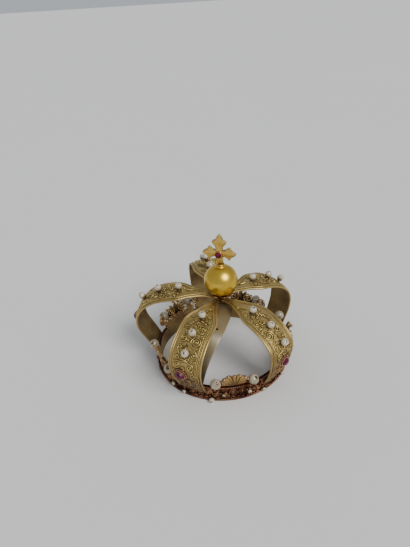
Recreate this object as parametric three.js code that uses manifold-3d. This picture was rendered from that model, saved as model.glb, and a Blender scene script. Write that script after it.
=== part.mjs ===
// Statue crown: a low band, five leaf-shaped arches, openwork crests between them,
// and a gilt orb and cross on top. Millimetres, +Z up.
import * as THREE from 'three';
import { mergeVertices } from 'three/addons/utils/BufferGeometryUtils.js';
import Module from 'manifold-3d';

const wasm = await Module();
wasm.setup();

// Driving sizes
const SEAM_GAP = 0.3;

// Band
const BAND_INNER_RADIUS = 48.6;
const BAND_WALL_RADIUS = 50.1;
const BAND_FOOT_RADIUS = 51.4;
const BAND_RIM_RADIUS = 50.9;
const BAND_HEIGHT = 12.4;
const BAND_FOOT_HEIGHT = 1.3;
const BAND_RIM_HEIGHT = 1.1;
const BAND_BEVEL = 0.8;
const BAND_SIDES = 48;

// Arch: radius and height of the sheet's middle line, from the boss to the foot
const ARCH_PROFILE = new THREE.SplineCurve([
  new THREE.Vector2(3.0, 55.0),
  new THREE.Vector2(14.0, 57.5),
  new THREE.Vector2(30.5, 58.6),
  new THREE.Vector2(46.0, 55.4),
  new THREE.Vector2(56.6, 48.8),
  new THREE.Vector2(61.2, 39.5),
  new THREE.Vector2(60.6, 29.0),
  new THREE.Vector2(56.8, 19.0),
  new THREE.Vector2(51.8, 8.5),
]);
// Half width of the leaf at a share of its length: a tapering end, then a strip of even width
const ARCH_HALF_WIDTH = new THREE.SplineCurve([
  new THREE.Vector2(0.0, 1.5),
  new THREE.Vector2(0.08, 2.9),
  new THREE.Vector2(0.2, 7.6),
  new THREE.Vector2(0.29, 11.7),
  new THREE.Vector2(0.34, 12.3),
  new THREE.Vector2(0.65, 12.2),
  new THREE.Vector2(1.0, 10.4),
]);
const ARCH_THICKNESS = 1.0;
const ARCH_CROWNING_RADIUS = 55;
const ARCH_STEPS_LONG = 16;
const ARCH_STEPS_WIDE = 4;
const SHOULDER_HEIGHT = 52;
const BELLY_HEIGHT = 33;
const BELLY_SPREAD = 14;
// The five arches as they have settled: lean lifts or drops the shoulder by a share of the radius,
// reach moves it in or out by a share of the radius, and belly pushes the flank in or out.
// Across the leaf, skew moves its upper half, pearls the row of pearls and gem the foot gem
const ARCHES = [
  {
    name: 'front_left', azimuth: -127, lean: -0.058, reach: -0.005, belly: 0,
    skew: 0, pearls: 0.7, gem: -2.4,
  },
  {
    name: 'front_right', azimuth: -55.7, lean: -0.128, reach: 0.014, belly: -2.6,
    skew: 1.7, pearls: 0.3, gem: 0,
  },
  { name: 'right', azimuth: 19.6, lean: 0, reach: -0.026, belly: 0, skew: 0, pearls: 0, gem: 0 },
  { name: 'back', azimuth: 91.3, lean: 0.118, reach: 0.014, belly: 0, skew: 0, pearls: 0, gem: 0 },
  { name: 'left', azimuth: 162, lean: 0.07, reach: -0.004, belly: 3.5, skew: 0, pearls: 0, gem: 0 },
];
const SKEW_LENGTH = 0.65;

// Pearls and gems on the arches
const PEARL_PLACES = [0.283, 0.435, 0.567];
const PEARL_NAMES = ['upper', 'middle', 'lower'];
const PEARL_RADIUS = 2.62;
const PEARL_SIDES = 8;
const COLLET_RADIUS = 1.5;
const COLLET_HEIGHT = 0.7;
const GEM_PLACE = 0.735;
const GEM_RADIUS = 3.2;
const GEM_HEIGHT = 2.2;
const BEZEL_WALL = 0.6;
const BEZEL_HEIGHT = 0.9;
const STONE_SIDES = 10;
const PIN_SIDES = 6;

// Inner strap: radius, azimuth and height along its middle line, from the band to the boss
const STRAP_ROUTE = [
  [47.7, -126, 3],
  [47.7, -125, 13],
  [47.0, -119, 32],
  [39.5, -111.5, 46],
  [28.0, -104, 49.6],
  [10.0, -78, 51],
  [0.5, -60, 51.1],
];
const STRAP_WIDTH = 10;
const STRAP_THICKNESS = 0.8;
const STRAP_STEPS = 16;
const STRAP_HUB_HEIGHT = 20;
const STRAP_HOLE_PLACE = 0.63;
const STRAP_HOLE_SHIFT = 0.5;
const STRAP_HOLE_RADIUS = 0.9;

// Crest: openwork that stands on the band's rim between two arches; one has its second pearl bent
// inwards and up
const CRESTS = [
  { name: 'front', azimuth: -92.7, spread: 14.8 },
  { name: 'right', azimuth: -14, spread: 20.5, bend: { inwards: 3.2, up: 4 } },
  { name: 'back_right', azimuth: 57, spread: 14.5 },
  { name: 'back_left', azimuth: 126.5, spread: 15 },
  { name: 'left', azimuth: 195, spread: 16 },
];
const UNBENT = { inwards: 0, up: 0 };
const CREST_RADIUS = 50.2;
const CREST_FLARE = 0.34;
const CREST_WIRE_RADIUS = 0.7;
const CREST_WIRE_SIDES = 4;
const CREST_RAIL_MARGIN = 4.5;
const CREST_RAIL_STEPS = 6;
const RAIL_HEIGHT = BAND_HEIGHT + SEAM_GAP + CREST_WIRE_RADIUS;
const LEAF_WIDTH = 17;
const LEAF_BASE_HEIGHT = 4.6;
const LEAF_HEIGHT = 11;
const LEAF_THICKNESS = 1.0;
const LEAF_LOBES = 7;
const LEAF_LOBE_BULGE = 1.28;
const LEAF_LOBE_STEPS = 2;
const LEAF_WAIST = 0.16;
const VOLUTE_RADIUS = 3.7;
const VOLUTE_SHIFT = 4.3;
const VOLUTE_TURNS = 1.35;
const VOLUTE_SHRINK = 0.62;
const VOLUTE_STEPS = 10;
const CREST_PEARL_RADIUS = 3.7;
const CREST_PEARL_RING = 53.4;
const CREST_PEARL_HEIGHT = 20.2;
const CREST_PEARL_RISE_TO_BACK = 2.2;
const CREST_STEM_RADIUS = 0.9;

// Orb, collars and cross
const STACK_SHIFT = 1.35;
const ORB_RADIUS = 12.5;
const ORB_CENTRE = 70.4;
const ORB_SIDES = 18;
const COLLAR_SIDES = 12;
const BOSS_RADIUS = 1.4;
const BOSS_BOTTOM = 52;
const BOSS_TOP = 57;
const CUP_RADIUS = 5.2;
const CUP_WALL = 0.5;
const CUP_HEIGHT = 1.7;
const SOCKET_RADIUS = 3.4;
const SOCKET_HEIGHT = 1.5;
const CROSS_SHIFT = -0.4;
const CROSS_CENTRE = 93.3;
const CROSS_TOP_REACH = 14.7;
const CROSS_SIDE_REACH = 12.2;
const CROSS_NECK_HALF = 2.3;
const CROSS_FLARE_HALF = 4.9;
const CROSS_THICKNESS = 1.6;
const CROSS_TURN = -27;
const CROSS_LEAN = 1.1;
const CROSS_FOOT_TRIM = 0.2;
const CROSS_GEM_SHIFT = -0.5;
const CROSS_GEM_DROP = 1.1;
const CROSS_GEM_RADIUS = 2.6;
const CROSS_GEM_HEIGHT = 1.8;

// Finishes
const finish = (color, roughness, metalness) => (
  new THREE.MeshStandardMaterial({ color, roughness, metalness })
);
const paleGold = () => finish(0xb39a63, 0.5, 0.9);
const redGold = () => finish(0x8f6a45, 0.55, 0.85);
const brightGold = () => finish(0xd8ae4a, 0.22, 1.0);
const greyMetal = () => finish(0x8d8474, 0.6, 0.8);
const pearlWhite = () => finish(0xe9e4da, 0.25, 0.0);
const purpleGlass = () => finish(0x8a2f55, 0.1, 0.0);
const redGlass = () => finish(0x6d1822, 0.08, 0.0);

const crown = new THREE.Group();

function addPiece(name, geometry, material) {
  const mesh = new THREE.Mesh(geometry, material);
  mesh.name = name;
  crown.add(mesh);
  return mesh;
}

function polar(radius, azimuth, height) {
  const angle = THREE.MathUtils.degToRad(azimuth);
  return new THREE.Vector3(radius * Math.cos(angle), radius * Math.sin(angle), height);
}

// A turned piece about the upright axis, from its radius and height outline
function turned(outline, sides) {
  const points = outline.map(([radius, height]) => new THREE.Vector2(radius, height));
  return new THREE.LatheGeometry(points, sides).rotateX(Math.PI / 2);
}

function weld(geometry) {
  const plain = geometry.clone();
  plain.deleteAttribute('normal');
  plain.deleteAttribute('uv');
  return mergeVertices(plain, 1e-4);
}

function toSolid(geometry) {
  const welded = weld(geometry);
  const vertProperties = new Float32Array(welded.attributes.position.array);
  const triVerts = new Uint32Array(welded.index.array);
  return new wasm.Manifold(new wasm.Mesh({ numProp: 3, vertProperties, triVerts }));
}

function toGeometry(solid) {
  const mesh = solid.getMesh();
  const geometry = new THREE.BufferGeometry();
  geometry.setAttribute('position', new THREE.BufferAttribute(mesh.vertProperties, 3));
  geometry.setIndex(new THREE.BufferAttribute(mesh.triVerts, 1));
  return geometry;
}

function joined(geometries) {
  const [first, ...rest] = geometries.map(toSolid);
  return toGeometry(rest.reduce((sum, solid) => sum.add(solid), first));
}

// A closed sheet: outside(u, v) and inside(u, v) give its two faces for u and v from 0 to 1
function sheet(stepsLong, stepsWide, outside, inside) {
  const row = stepsWide + 1;
  const layer = (stepsLong + 1) * row;
  const positions = [];
  for (const face of [outside, inside]) {
    for (let i = 0; i <= stepsLong; i += 1) {
      for (let j = 0; j <= stepsWide; j += 1) {
        positions.push(...face(i / stepsLong, j / stepsWide).toArray());
      }
    }
  }
  const triangles = [];
  const quad = (a, b, c, d) => triangles.push(a, b, c, a, c, d);
  const at = (i, j) => i * row + j;
  for (let i = 0; i < stepsLong; i += 1) {
    for (let j = 0; j < stepsWide; j += 1) {
      quad(at(i, j), at(i + 1, j), at(i + 1, j + 1), at(i, j + 1));
      quad(layer + at(i, j), layer + at(i, j + 1), layer + at(i + 1, j + 1), layer + at(i + 1, j));
    }
    quad(at(i + 1, 0), at(i, 0), layer + at(i, 0), layer + at(i + 1, 0));
    quad(at(i, stepsWide), at(i + 1, stepsWide), layer + at(i + 1, stepsWide), layer + at(i, stepsWide));
  }
  for (let j = 0; j < stepsWide; j += 1) {
    quad(at(0, j), at(0, j + 1), layer + at(0, j + 1), layer + at(0, j));
    quad(at(stepsLong, j + 1), at(stepsLong, j), layer + at(stepsLong, j), layer + at(stepsLong, j + 1));
  }
  const geometry = new THREE.BufferGeometry();
  geometry.setAttribute('position', new THREE.Float32BufferAttribute(positions, 3));
  geometry.setIndex(triangles);
  return geometry;
}

// A wire of round section along a curve
function wire(curve, steps, radius) {
  const section = new THREE.Shape();
  for (let k = 0; k < CREST_WIRE_SIDES; k += 1) {
    const angle = (2 * Math.PI * k) / CREST_WIRE_SIDES;
    const corner = [radius * Math.cos(angle), radius * Math.sin(angle)];
    if (k === 0) section.moveTo(...corner);
    else section.lineTo(...corner);
  }
  section.closePath();
  return new THREE.ExtrudeGeometry(section, { steps, extrudePath: curve, bevelEnabled: false });
}

// Turns a piece made along +Z to stand on a surface point along its normal
function stand(geometry, point, normal) {
  const up = new THREE.Vector3(0, 0, 1);
  const turn = new THREE.Quaternion().setFromUnitVectors(up, normal);
  return geometry.applyQuaternion(turn).translate(point.x, point.y, point.z);
}

// A disc along +Z whose underside is at the given depth
function disc(radius, bottom, top) {
  return new THREE.CylinderGeometry(radius, radius, top - bottom, PIN_SIDES)
    .rotateX(Math.PI / 2)
    .translate(0, 0, (top + bottom) / 2);
}

// A low domed stone on its flat back
function stone(radius, height) {
  return turned([
    [0, 0],
    [radius, 0],
    [radius, 0.4 * height],
    [0.7 * radius, 0.85 * height],
    [0, height],
  ], STONE_SIDES);
}

function bandGeometry() {
  return turned([
    [BAND_INNER_RADIUS, 0],
    [BAND_FOOT_RADIUS, 0],
    [BAND_FOOT_RADIUS, BAND_FOOT_HEIGHT],
    [BAND_WALL_RADIUS, BAND_FOOT_HEIGHT + BAND_BEVEL],
    [BAND_WALL_RADIUS, BAND_HEIGHT - BAND_RIM_HEIGHT - BAND_BEVEL],
    [BAND_RIM_RADIUS, BAND_HEIGHT - BAND_RIM_HEIGHT],
    [BAND_RIM_RADIUS, BAND_HEIGHT],
    [BAND_INNER_RADIUS, BAND_HEIGHT],
    [BAND_INNER_RADIUS, 0],
  ], BAND_SIDES);
}

// Half width of the leaf at a place along it, from 0 at the boss to 1 at the foot
function leafHalfWidth(place) {
  const { points } = ARCH_HALF_WIDTH;
  const next = Math.max(1, points.findIndex((point) => point.x >= place));
  const share = (place - points[next - 1].x) / (points[next].x - points[next - 1].x);
  return ARCH_HALF_WIDTH.getPoint((next - 1 + share) / (points.length - 1)).y;
}

// Middle line of one arch in its own upright plane, as radius and height
function archLine(arch, place) {
  const { x: radius, y: height } = ARCH_PROFILE.getPointAt(place);
  const share = Math.min(1, height / SHOULDER_HEIGHT);
  const swell = Math.exp(-(((height - BELLY_HEIGHT) / BELLY_SPREAD) ** 2));
  const settled = radius * (1 + arch.reach * share) + arch.belly * swell;
  return new THREE.Vector2(settled, height + arch.lean * settled * share);
}

// Point and outward normal on an arch's middle surface; across is in mm from the middle line
function onArch(arch, place, across) {
  const step = 0.004;
  const point = archLine(arch, place);
  const before = archLine(arch, Math.max(0, place - step));
  const after = archLine(arch, Math.min(1, place + step));
  const along = after.clone().sub(before).normalize();
  const drop = across ** 2 / (2 * ARCH_CROWNING_RADIUS);
  const tilt = across / ARCH_CROWNING_RADIUS;
  const radius = point.x + along.y * drop;
  const height = point.y - along.x * drop;
  const angle = THREE.MathUtils.degToRad(arch.azimuth);
  const outward = new THREE.Vector3(Math.cos(angle), Math.sin(angle), 0);
  const sideways = new THREE.Vector3(-Math.sin(angle), Math.cos(angle), 0);
  const position = outward.clone().multiplyScalar(radius).addScaledVector(sideways, across);
  position.z = height;
  const normal = outward.multiplyScalar(-along.y).addScaledVector(sideways, tilt);
  normal.z = along.x;
  return { position, normal: normal.normalize() };
}

function archFace(arch, depth) {
  return (u, v) => {
    const skew = arch.skew * Math.sin(Math.PI * Math.min(1, u / SKEW_LENGTH));
    const across = (2 * v - 1) * leafHalfWidth(u) + skew;
    const { position, normal } = onArch(arch, u, across);
    return position.addScaledVector(normal, depth);
  };
}

// Leaf with the collets of its pearls and the bezel of its foot gem soldered on
function archGeometry(arch) {
  const half = ARCH_THICKNESS / 2;
  const leaf = sheet(ARCH_STEPS_LONG, ARCH_STEPS_WIDE, archFace(arch, half), archFace(arch, -half));
  const collets = PEARL_PLACES.map((place) => {
    const { position, normal } = onArch(arch, place, arch.pearls);
    return stand(disc(COLLET_RADIUS, 0, half + COLLET_HEIGHT), position, normal);
  });
  const seat = onArch(arch, GEM_PLACE, arch.gem);
  const bezel = stand(disc(GEM_RADIUS + BEZEL_WALL, 0, half + BEZEL_HEIGHT), seat.position, seat.normal);
  return joined([leaf, ...collets, bezel]);
}

function addArch(arch) {
  addPiece(`arch_${arch.name}`, archGeometry(arch), paleGold());
  const half = ARCH_THICKNESS / 2;
  PEARL_PLACES.forEach((place, k) => {
    const { position, normal } = onArch(arch, place, arch.pearls);
    position.addScaledVector(normal, half + COLLET_HEIGHT + SEAM_GAP + PEARL_RADIUS);
    const pearl = new THREE.SphereGeometry(PEARL_RADIUS, PEARL_SIDES, PEARL_SIDES - 2);
    addPiece(`pearl_${arch.name}_${PEARL_NAMES[k]}`, stand(pearl, position, normal), pearlWhite());
  });
  const seat = onArch(arch, GEM_PLACE, arch.gem);
  seat.position.addScaledVector(seat.normal, half + BEZEL_HEIGHT + SEAM_GAP);
  const gem = stand(stone(GEM_RADIUS, GEM_HEIGHT), seat.position, seat.normal);
  addPiece(`gem_${arch.name}`, gem, purpleGlass());
}

// Plain strip inside the front left arch, with its small hole
function strapGeometry() {
  const route = new THREE.CatmullRomCurve3(STRAP_ROUTE.map((stop) => polar(...stop)));
  const hub = new THREE.Vector3(0, 0, STRAP_HUB_HEIGHT);
  const frameAt = (place) => {
    const point = route.getPointAt(place);
    const along = route.getTangentAt(place);
    const side = point.clone().sub(hub).cross(along).normalize();
    const normal = along.clone().cross(side);
    return { point, side, normal };
  };
  const face = (depth) => (u, v) => {
    const { point, side, normal } = frameAt(u);
    return point.addScaledVector(side, (v - 0.5) * STRAP_WIDTH).addScaledVector(normal, depth);
  };
  const half = STRAP_THICKNESS / 2;
  const strip = sheet(STRAP_STEPS, 1, face(half), face(-half));
  const { point, side, normal } = frameAt(STRAP_HOLE_PLACE);
  point.addScaledVector(side, STRAP_HOLE_SHIFT);
  const drill = stand(disc(STRAP_HOLE_RADIUS, -STRAP_WIDTH / 4, STRAP_WIDTH / 4), point, normal);
  return toGeometry(toSolid(strip).subtract(toSolid(drill)));
}

// Wraps a flat crest drawing onto the flaring ring: x runs along the band, y up, z outward
function wrapPoint(azimuth, x, y, z) {
  const radius = CREST_RADIUS + CREST_FLARE * y + z;
  return polar(radius, azimuth + THREE.MathUtils.radToDeg(x / CREST_RADIUS), BAND_HEIGHT + SEAM_GAP + y);
}

function wrapGeometry(azimuth, geometry) {
  const place = geometry.attributes.position;
  for (let k = 0; k < place.count; k += 1) {
    place.setXYZ(k, ...wrapPoint(azimuth, place.getX(k), place.getY(k), place.getZ(k)).toArray());
  }
  return geometry;
}

// Scalloped leaf: lobes along a half-oval outline, on a straight foot
function leafShape() {
  const shape = new THREE.Shape();
  const rim = (share, swell = 1) => {
    const angle = Math.PI * share;
    const across = 0.5 * swell * LEAF_WIDTH * Math.cos(angle);
    return [across, LEAF_BASE_HEIGHT + swell * LEAF_HEIGHT * Math.sin(angle)];
  };
  const waist = LEAF_WAIST * LEAF_WIDTH;
  shape.moveTo(-waist, 0);
  shape.lineTo(waist, 0);
  shape.lineTo(...rim(0));
  for (let k = 0; k < LEAF_LOBES; k += 1) {
    const bulge = rim((k + 0.5) / LEAF_LOBES, LEAF_LOBE_BULGE);
    shape.quadraticCurveTo(...bulge, ...rim((k + 1) / LEAF_LOBES));
  }
  shape.closePath();
  return shape;
}

// One volute of the pair under the leaf; side is 1 or -1
function voluteCurve(azimuth, side) {
  const points = [];
  for (let k = 0; k <= VOLUTE_STEPS; k += 1) {
    const share = k / VOLUTE_STEPS;
    const angle = -Math.PI / 2 + 2 * Math.PI * VOLUTE_TURNS * share;
    const radius = VOLUTE_RADIUS * (1 - VOLUTE_SHRINK * share);
    const x = VOLUTE_SHIFT + radius * Math.cos(angle);
    const y = CREST_WIRE_RADIUS + VOLUTE_RADIUS + radius * Math.sin(angle);
    points.push(wrapPoint(azimuth, side * x, y, -CREST_WIRE_RADIUS));
  }
  return new THREE.CatmullRomCurve3(points);
}

function crestGeometry({ azimuth, spread }, pearls) {
  const rail = new THREE.CatmullRomCurve3([-1, -0.5, 0, 0.5, 1].map((share) => (
    polar(CREST_RADIUS - CREST_WIRE_RADIUS, azimuth + share * (spread + CREST_RAIL_MARGIN),
      RAIL_HEIGHT)
  )));
  const leaf = new THREE.ExtrudeGeometry(leafShape(), {
    depth: LEAF_THICKNESS, bevelEnabled: false, curveSegments: LEAF_LOBE_STEPS,
  });
  const stems = pearls.map((pearl) => {
    const foot = polar(CREST_RADIUS - CREST_WIRE_RADIUS, pearl.azimuth, RAIL_HEIGHT);
    const reach = pearl.centre.clone().sub(foot);
    const length = reach.length() - CREST_PEARL_RADIUS - SEAM_GAP;
    return stand(disc(CREST_STEM_RADIUS, 0, length), foot, reach.normalize());
  });
  return joined([
    wire(rail, CREST_RAIL_STEPS, CREST_WIRE_RADIUS),
    wrapGeometry(azimuth, leaf),
    wire(voluteCurve(azimuth, 1), VOLUTE_STEPS, CREST_WIRE_RADIUS),
    wire(voluteCurve(azimuth, -1), VOLUTE_STEPS, CREST_WIRE_RADIUS),
    ...stems,
  ]);
}

function addCrest(crest) {
  const pearls = [-1, 1].map((side) => {
    const at = crest.azimuth + side * crest.spread;
    const rise = CREST_PEARL_RISE_TO_BACK * Math.sin(THREE.MathUtils.degToRad(at));
    const { inwards, up } = (side > 0 && crest.bend) || UNBENT;
    const centre = polar(CREST_PEARL_RING - inwards, at, CREST_PEARL_HEIGHT + rise + up);
    return { side, azimuth: at, centre };
  });
  addPiece(`crest_${crest.name}`, crestGeometry(crest, pearls), redGold());
  for (const { side, centre } of pearls) {
    const pearl = new THREE.SphereGeometry(CREST_PEARL_RADIUS, PEARL_SIDES, PEARL_SIDES - 2);
    const label = side < 0 ? 'first' : 'second';
    addPiece(`pearl_crest_${crest.name}_${label}`, pearl.translate(...centre.toArray()), pearlWhite());
  }
}

function orbCollarGeometry() {
  return turned([
    [0, BOSS_BOTTOM],
    [BOSS_RADIUS, BOSS_BOTTOM],
    [BOSS_RADIUS, BOSS_TOP],
    [CUP_RADIUS - 2 * CUP_WALL, BOSS_TOP + CUP_WALL / 2],
    [CUP_RADIUS, BOSS_TOP + CUP_HEIGHT - 2 * CUP_WALL],
    [CUP_RADIUS, BOSS_TOP + CUP_HEIGHT],
    [CUP_RADIUS - CUP_WALL, BOSS_TOP + CUP_HEIGHT - 0.15],
    [0, BOSS_TOP + CUP_WALL],
  ], COLLAR_SIDES);
}

// Flat cross: each arm flares to two side points and a longer middle point, and the stem's foot
// stays over the socket however the cross leans
function crossGeometry(stemFoot) {
  const arm = (reach) => [
    [0.2 * reach, CROSS_NECK_HALF],
    [0.45 * reach, 1.3 * CROSS_NECK_HALF],
    [0.57 * reach, CROSS_FLARE_HALF],
    [0.66 * reach, CROSS_FLARE_HALF],
    [0.735 * reach, 0.53 * CROSS_FLARE_HALF],
    [0.88 * reach, 0.4 * CROSS_FLARE_HALF],
    [reach, 0.1],
  ];
  const corners = [];
  const reaches = [CROSS_SIDE_REACH, CROSS_TOP_REACH, CROSS_SIDE_REACH];
  reaches.forEach((reach, quarter) => {
    const angle = (quarter * Math.PI) / 2;
    const place = ([along, across]) => [
      along * Math.cos(angle) - across * Math.sin(angle),
      along * Math.sin(angle) + across * Math.cos(angle),
    ];
    const half = arm(reach);
    const lower = half.map(([along, across]) => place([along, -across]));
    const upper = half.map(([along, across]) => place([along, across])).reverse();
    corners.push(...lower, ...upper);
  });
  const foot = stemFoot - CROSS_CENTRE;
  const footShift = -foot * Math.sin(THREE.MathUtils.degToRad(CROSS_LEAN));
  const shoulder = -0.2 * CROSS_SIDE_REACH;
  corners.push([-CROSS_NECK_HALF, shoulder], [footShift - CROSS_NECK_HALF, foot + CROSS_FOOT_TRIM]);
  corners.push([footShift + CROSS_NECK_HALF, foot + CROSS_FOOT_TRIM], [CROSS_NECK_HALF, shoulder]);
  const outline = new THREE.Shape(corners.map(([x, y]) => new THREE.Vector2(x, y)));
  return new THREE.ExtrudeGeometry(outline, { depth: CROSS_THICKNESS, bevelEnabled: false })
    .translate(0, 0, -CROSS_THICKNESS / 2)
    .rotateX(Math.PI / 2);
}

function addOrbAndCross() {
  const orb = new THREE.SphereGeometry(ORB_RADIUS, ORB_SIDES, ORB_SIDES / 2);
  const socketFoot = ORB_CENTRE + ORB_RADIUS + SEAM_GAP;
  const socketTop = socketFoot + SOCKET_HEIGHT;
  const stack = [
    addPiece('orb_collar', orbCollarGeometry(), brightGold()),
    addPiece('orb', orb.rotateX(Math.PI / 2).translate(0, 0, ORB_CENTRE), brightGold()),
    addPiece('cross_socket', disc(SOCKET_RADIUS, socketFoot, socketTop), brightGold()),
  ];
  const gem = stone(CROSS_GEM_RADIUS, CROSS_GEM_HEIGHT)
    .rotateX(Math.PI / 2)
    .translate(CROSS_GEM_SHIFT, -CROSS_THICKNESS / 2 - SEAM_GAP, -CROSS_GEM_DROP);
  const leaning = [
    addPiece('cross', crossGeometry(socketTop + SEAM_GAP), brightGold()),
    addPiece('cross_gem', gem, redGlass()),
  ];
  for (const mesh of leaning) {
    mesh.geometry
      .rotateY(THREE.MathUtils.degToRad(CROSS_LEAN))
      .rotateZ(THREE.MathUtils.degToRad(CROSS_TURN))
      .translate(CROSS_SHIFT, 0, CROSS_CENTRE);
  }
  for (const mesh of [...stack, ...leaning]) {
    mesh.position.x = STACK_SHIFT;
  }
}

addPiece('band', bandGeometry(), redGold());
ARCHES.forEach(addArch);
addPiece('inner_strap', strapGeometry(), greyMetal());
CRESTS.forEach(addCrest);
addOrbAndCross();

// The middle of the outline goes over the origin, with the band's underside on the ground
const box = new THREE.Box3().setFromObject(crown);
const middle = box.getCenter(new THREE.Vector3());
crown.position.set(-middle.x, -middle.y, -box.min.z);

export default crown;
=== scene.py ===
"""Looks of a gilt statue crown: five filigree arches over a band, pearls, openwork crests, orb and cross."""

import math
import random
from functools import partial
from types import SimpleNamespace as Arch

import bpy
from mathutils import Matrix, Vector, kdtree, noise


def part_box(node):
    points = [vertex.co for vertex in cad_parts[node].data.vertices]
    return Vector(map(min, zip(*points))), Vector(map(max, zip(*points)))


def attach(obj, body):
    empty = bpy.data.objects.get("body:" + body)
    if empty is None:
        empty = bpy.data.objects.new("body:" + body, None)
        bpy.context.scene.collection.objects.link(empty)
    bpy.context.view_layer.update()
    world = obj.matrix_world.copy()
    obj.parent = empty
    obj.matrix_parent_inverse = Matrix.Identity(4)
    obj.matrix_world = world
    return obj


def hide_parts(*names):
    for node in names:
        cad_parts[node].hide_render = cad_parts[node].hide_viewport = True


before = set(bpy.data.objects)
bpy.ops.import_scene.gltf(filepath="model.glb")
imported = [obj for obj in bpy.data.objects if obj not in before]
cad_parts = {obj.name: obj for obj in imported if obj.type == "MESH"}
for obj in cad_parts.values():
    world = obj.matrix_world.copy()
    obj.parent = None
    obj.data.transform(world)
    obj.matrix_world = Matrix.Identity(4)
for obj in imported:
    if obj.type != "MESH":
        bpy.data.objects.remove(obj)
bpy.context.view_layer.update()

bl_info = {
    "name": "Statue Crown",
    "version": (1, 0, 0),
    "blender": (4, 5, 0),
    "location": "View3D > Sidebar > Crown",
    "description": "Models the pieces of a gilt statue crown around its packed solids",
    "category": "Object",
}

MM = 0.001
BAND_LOW, BAND_HIGH = (Vector(corner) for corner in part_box("band"))
AXIS = Vector(((BAND_LOW.x + BAND_HIGH.x) / 2, (BAND_LOW.y + BAND_HIGH.y) / 2, 0.0))

# Band, in mm from the crown's axis and the ground
BAND_INNER = 48.6
BAND_WALL = 50.1
BAND_FOOT = 51.4
BAND_RIM = 50.9
BAND_HEIGHT = 12.4
BAND_MIDDLE = 6.2
BAND_SCROLLS = 26
BAND_GRANULES = 110
FOOT_LOOPS = 84
# Small pearls on the band: azimuth, height and radius
EDGE_BEADS = [
    (-111.1, 2.3, 2.0), (-101.8, 6.4, 0.9), (-80.9, 6.7, 1.35), (-134.7, 3.5, 1.3), (-146.0, 5.5, 1.4),
    (-67.7, 2.6, 1.3), (-43.7, 2.5, 1.2), (-25.0, 2.4, 1.5), (-3.0, 2.6, 1.2), (10.0, 2.5, 1.4),
    (31.6, 2.5, 1.2), (46.0, 2.5, 1.5), (68.0, 2.6, 1.3), (82.0, 2.4, 1.2), (103.3, 2.5, 1.4),
    (116.0, 2.5, 1.2), (134.5, 2.6, 1.5), (153.0, 2.5, 1.2), (174.0, 2.5, 1.4), (188.0, 2.5, 1.3),
]

# Arch: radius and height of the sheet's middle line, from the boss to the foot
ARCH_PROFILE = [
    (3.0, 55.0), (14.0, 57.5), (30.5, 58.6), (46.0, 55.4), (56.6, 48.8),
    (61.2, 39.5), (60.6, 29.0), (56.8, 19.0), (51.8, 8.5),
]
# Half width of the leaf at a share of its length
ARCH_HALF_WIDTH = [
    (0.0, 1.5), (0.08, 2.9), (0.2, 7.6), (0.29, 11.7), (0.34, 12.3), (0.65, 12.2), (1.0, 10.4),
]
HALF_SHEET = 0.5
CROWNING_RADIUS = 55.0
SHOULDER_HEIGHT = 52.0
BELLY_HEIGHT = 33.0
BELLY_SPREAD = 14.0
# How each arch departs from the profile, and across the leaf: the skew of its upper half,
# the shifts of its pearls and foot gem, and the side of its large scroll
ARCHES = [
    Arch(name="front_left", azimuth=-127.0, lean=-0.058, reach=-0.005, belly=0.0,
         skew=0.0, pearl_shift=0.7, gem_shift=-2.4, hand=1),
    Arch(name="front_right", azimuth=-55.7, lean=-0.128, reach=0.014, belly=-2.6,
         skew=1.7, pearl_shift=0.3, gem_shift=0.0, hand=-1),
    Arch(name="right", azimuth=19.6, lean=0.0, reach=-0.026, belly=0.0,
         skew=0.0, pearl_shift=0.0, gem_shift=0.0, hand=1),
    Arch(name="back", azimuth=91.3, lean=0.118, reach=0.014, belly=0.0,
         skew=0.0, pearl_shift=0.0, gem_shift=0.0, hand=-1),
    Arch(name="left", azimuth=162.0, lean=0.07, reach=-0.004, belly=3.5,
         skew=0.0, pearl_shift=0.0, gem_shift=0.0, hand=-1),
]
SKEW_LENGTH = 0.65
PEARL_PLACES = {"upper": 0.283, "middle": 0.435, "lower": 0.567}
PEARL_RADIUS = 2.62
PEARL_LIFT = 4.12
PEARL_HOLE = 0.85
# The pearl with the widest drill hole
WIDE_HOLE = 1.15
WIDE_HOLE_PEARL = ("front_right", "upper")
EDGE_BEAD_HOLE = 0.3
GEM_PLACE = 0.735
GEM_RADIUS = 3.2
# Turned settings, as radius and height: the cup under a pearl, and the bezel round a foot gem
COLLET_OUTLINE = [
    (0, 0.2), (2.1, 0.2), (2.2, 0.5), (1.7, 0.75), (1.25, 1.0), (1.3, 1.3), (2.2, 2.0),
    (2.35, 2.3), (2.15, 2.35), (1.2, 1.6), (0, 1.5),
]
BEZEL_WALL = GEM_RADIUS + 0.4
BEZEL_SEAT = GEM_RADIUS + 0.05
BEZEL_OUTLINE = [
    (0, 0.2), (BEZEL_WALL + 0.3, 0.2), (BEZEL_WALL + 0.25, 0.75), (BEZEL_WALL, 0.95),
    (BEZEL_WALL + 0.05, 1.9), (BEZEL_WALL - 0.3, 2.15), (BEZEL_SEAT, 2.0), (BEZEL_SEAT, 1.3), (0, 1.2),
]
# Beads round a foot gem: how many, and for each ring its distance from the gem, first angle, height
# and the radius of its beads
BEZEL_BEADS = 18
BEZEL_RINGS = [(0.4, 0, 2.0, 0.42), (1.2, 10, 0.75, 0.5)]
# How deep collets and bezels are sunk into the sheet
SETTING_SINK = 0.3

# Strap: radius, azimuth and height along its middle line, from the band to the boss
STRAP_ROUTE = [
    (47.7, -126, 3), (47.7, -125, 13), (47.0, -119, 32), (39.5, -111.5, 46),
    (28.0, -104, 49.6), (10.0, -78, 51), (0.5, -60, 51.1),
]
STRAP_WIDTH = 10.0
STRAP_HALF_SHEET = 0.4
STRAP_HUB = Vector((0, 0, 20.0))
# Hole of the strap: share of its length, distance from its middle line, radius
STRAP_HOLE = (0.63, 0.5, 0.9)
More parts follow.
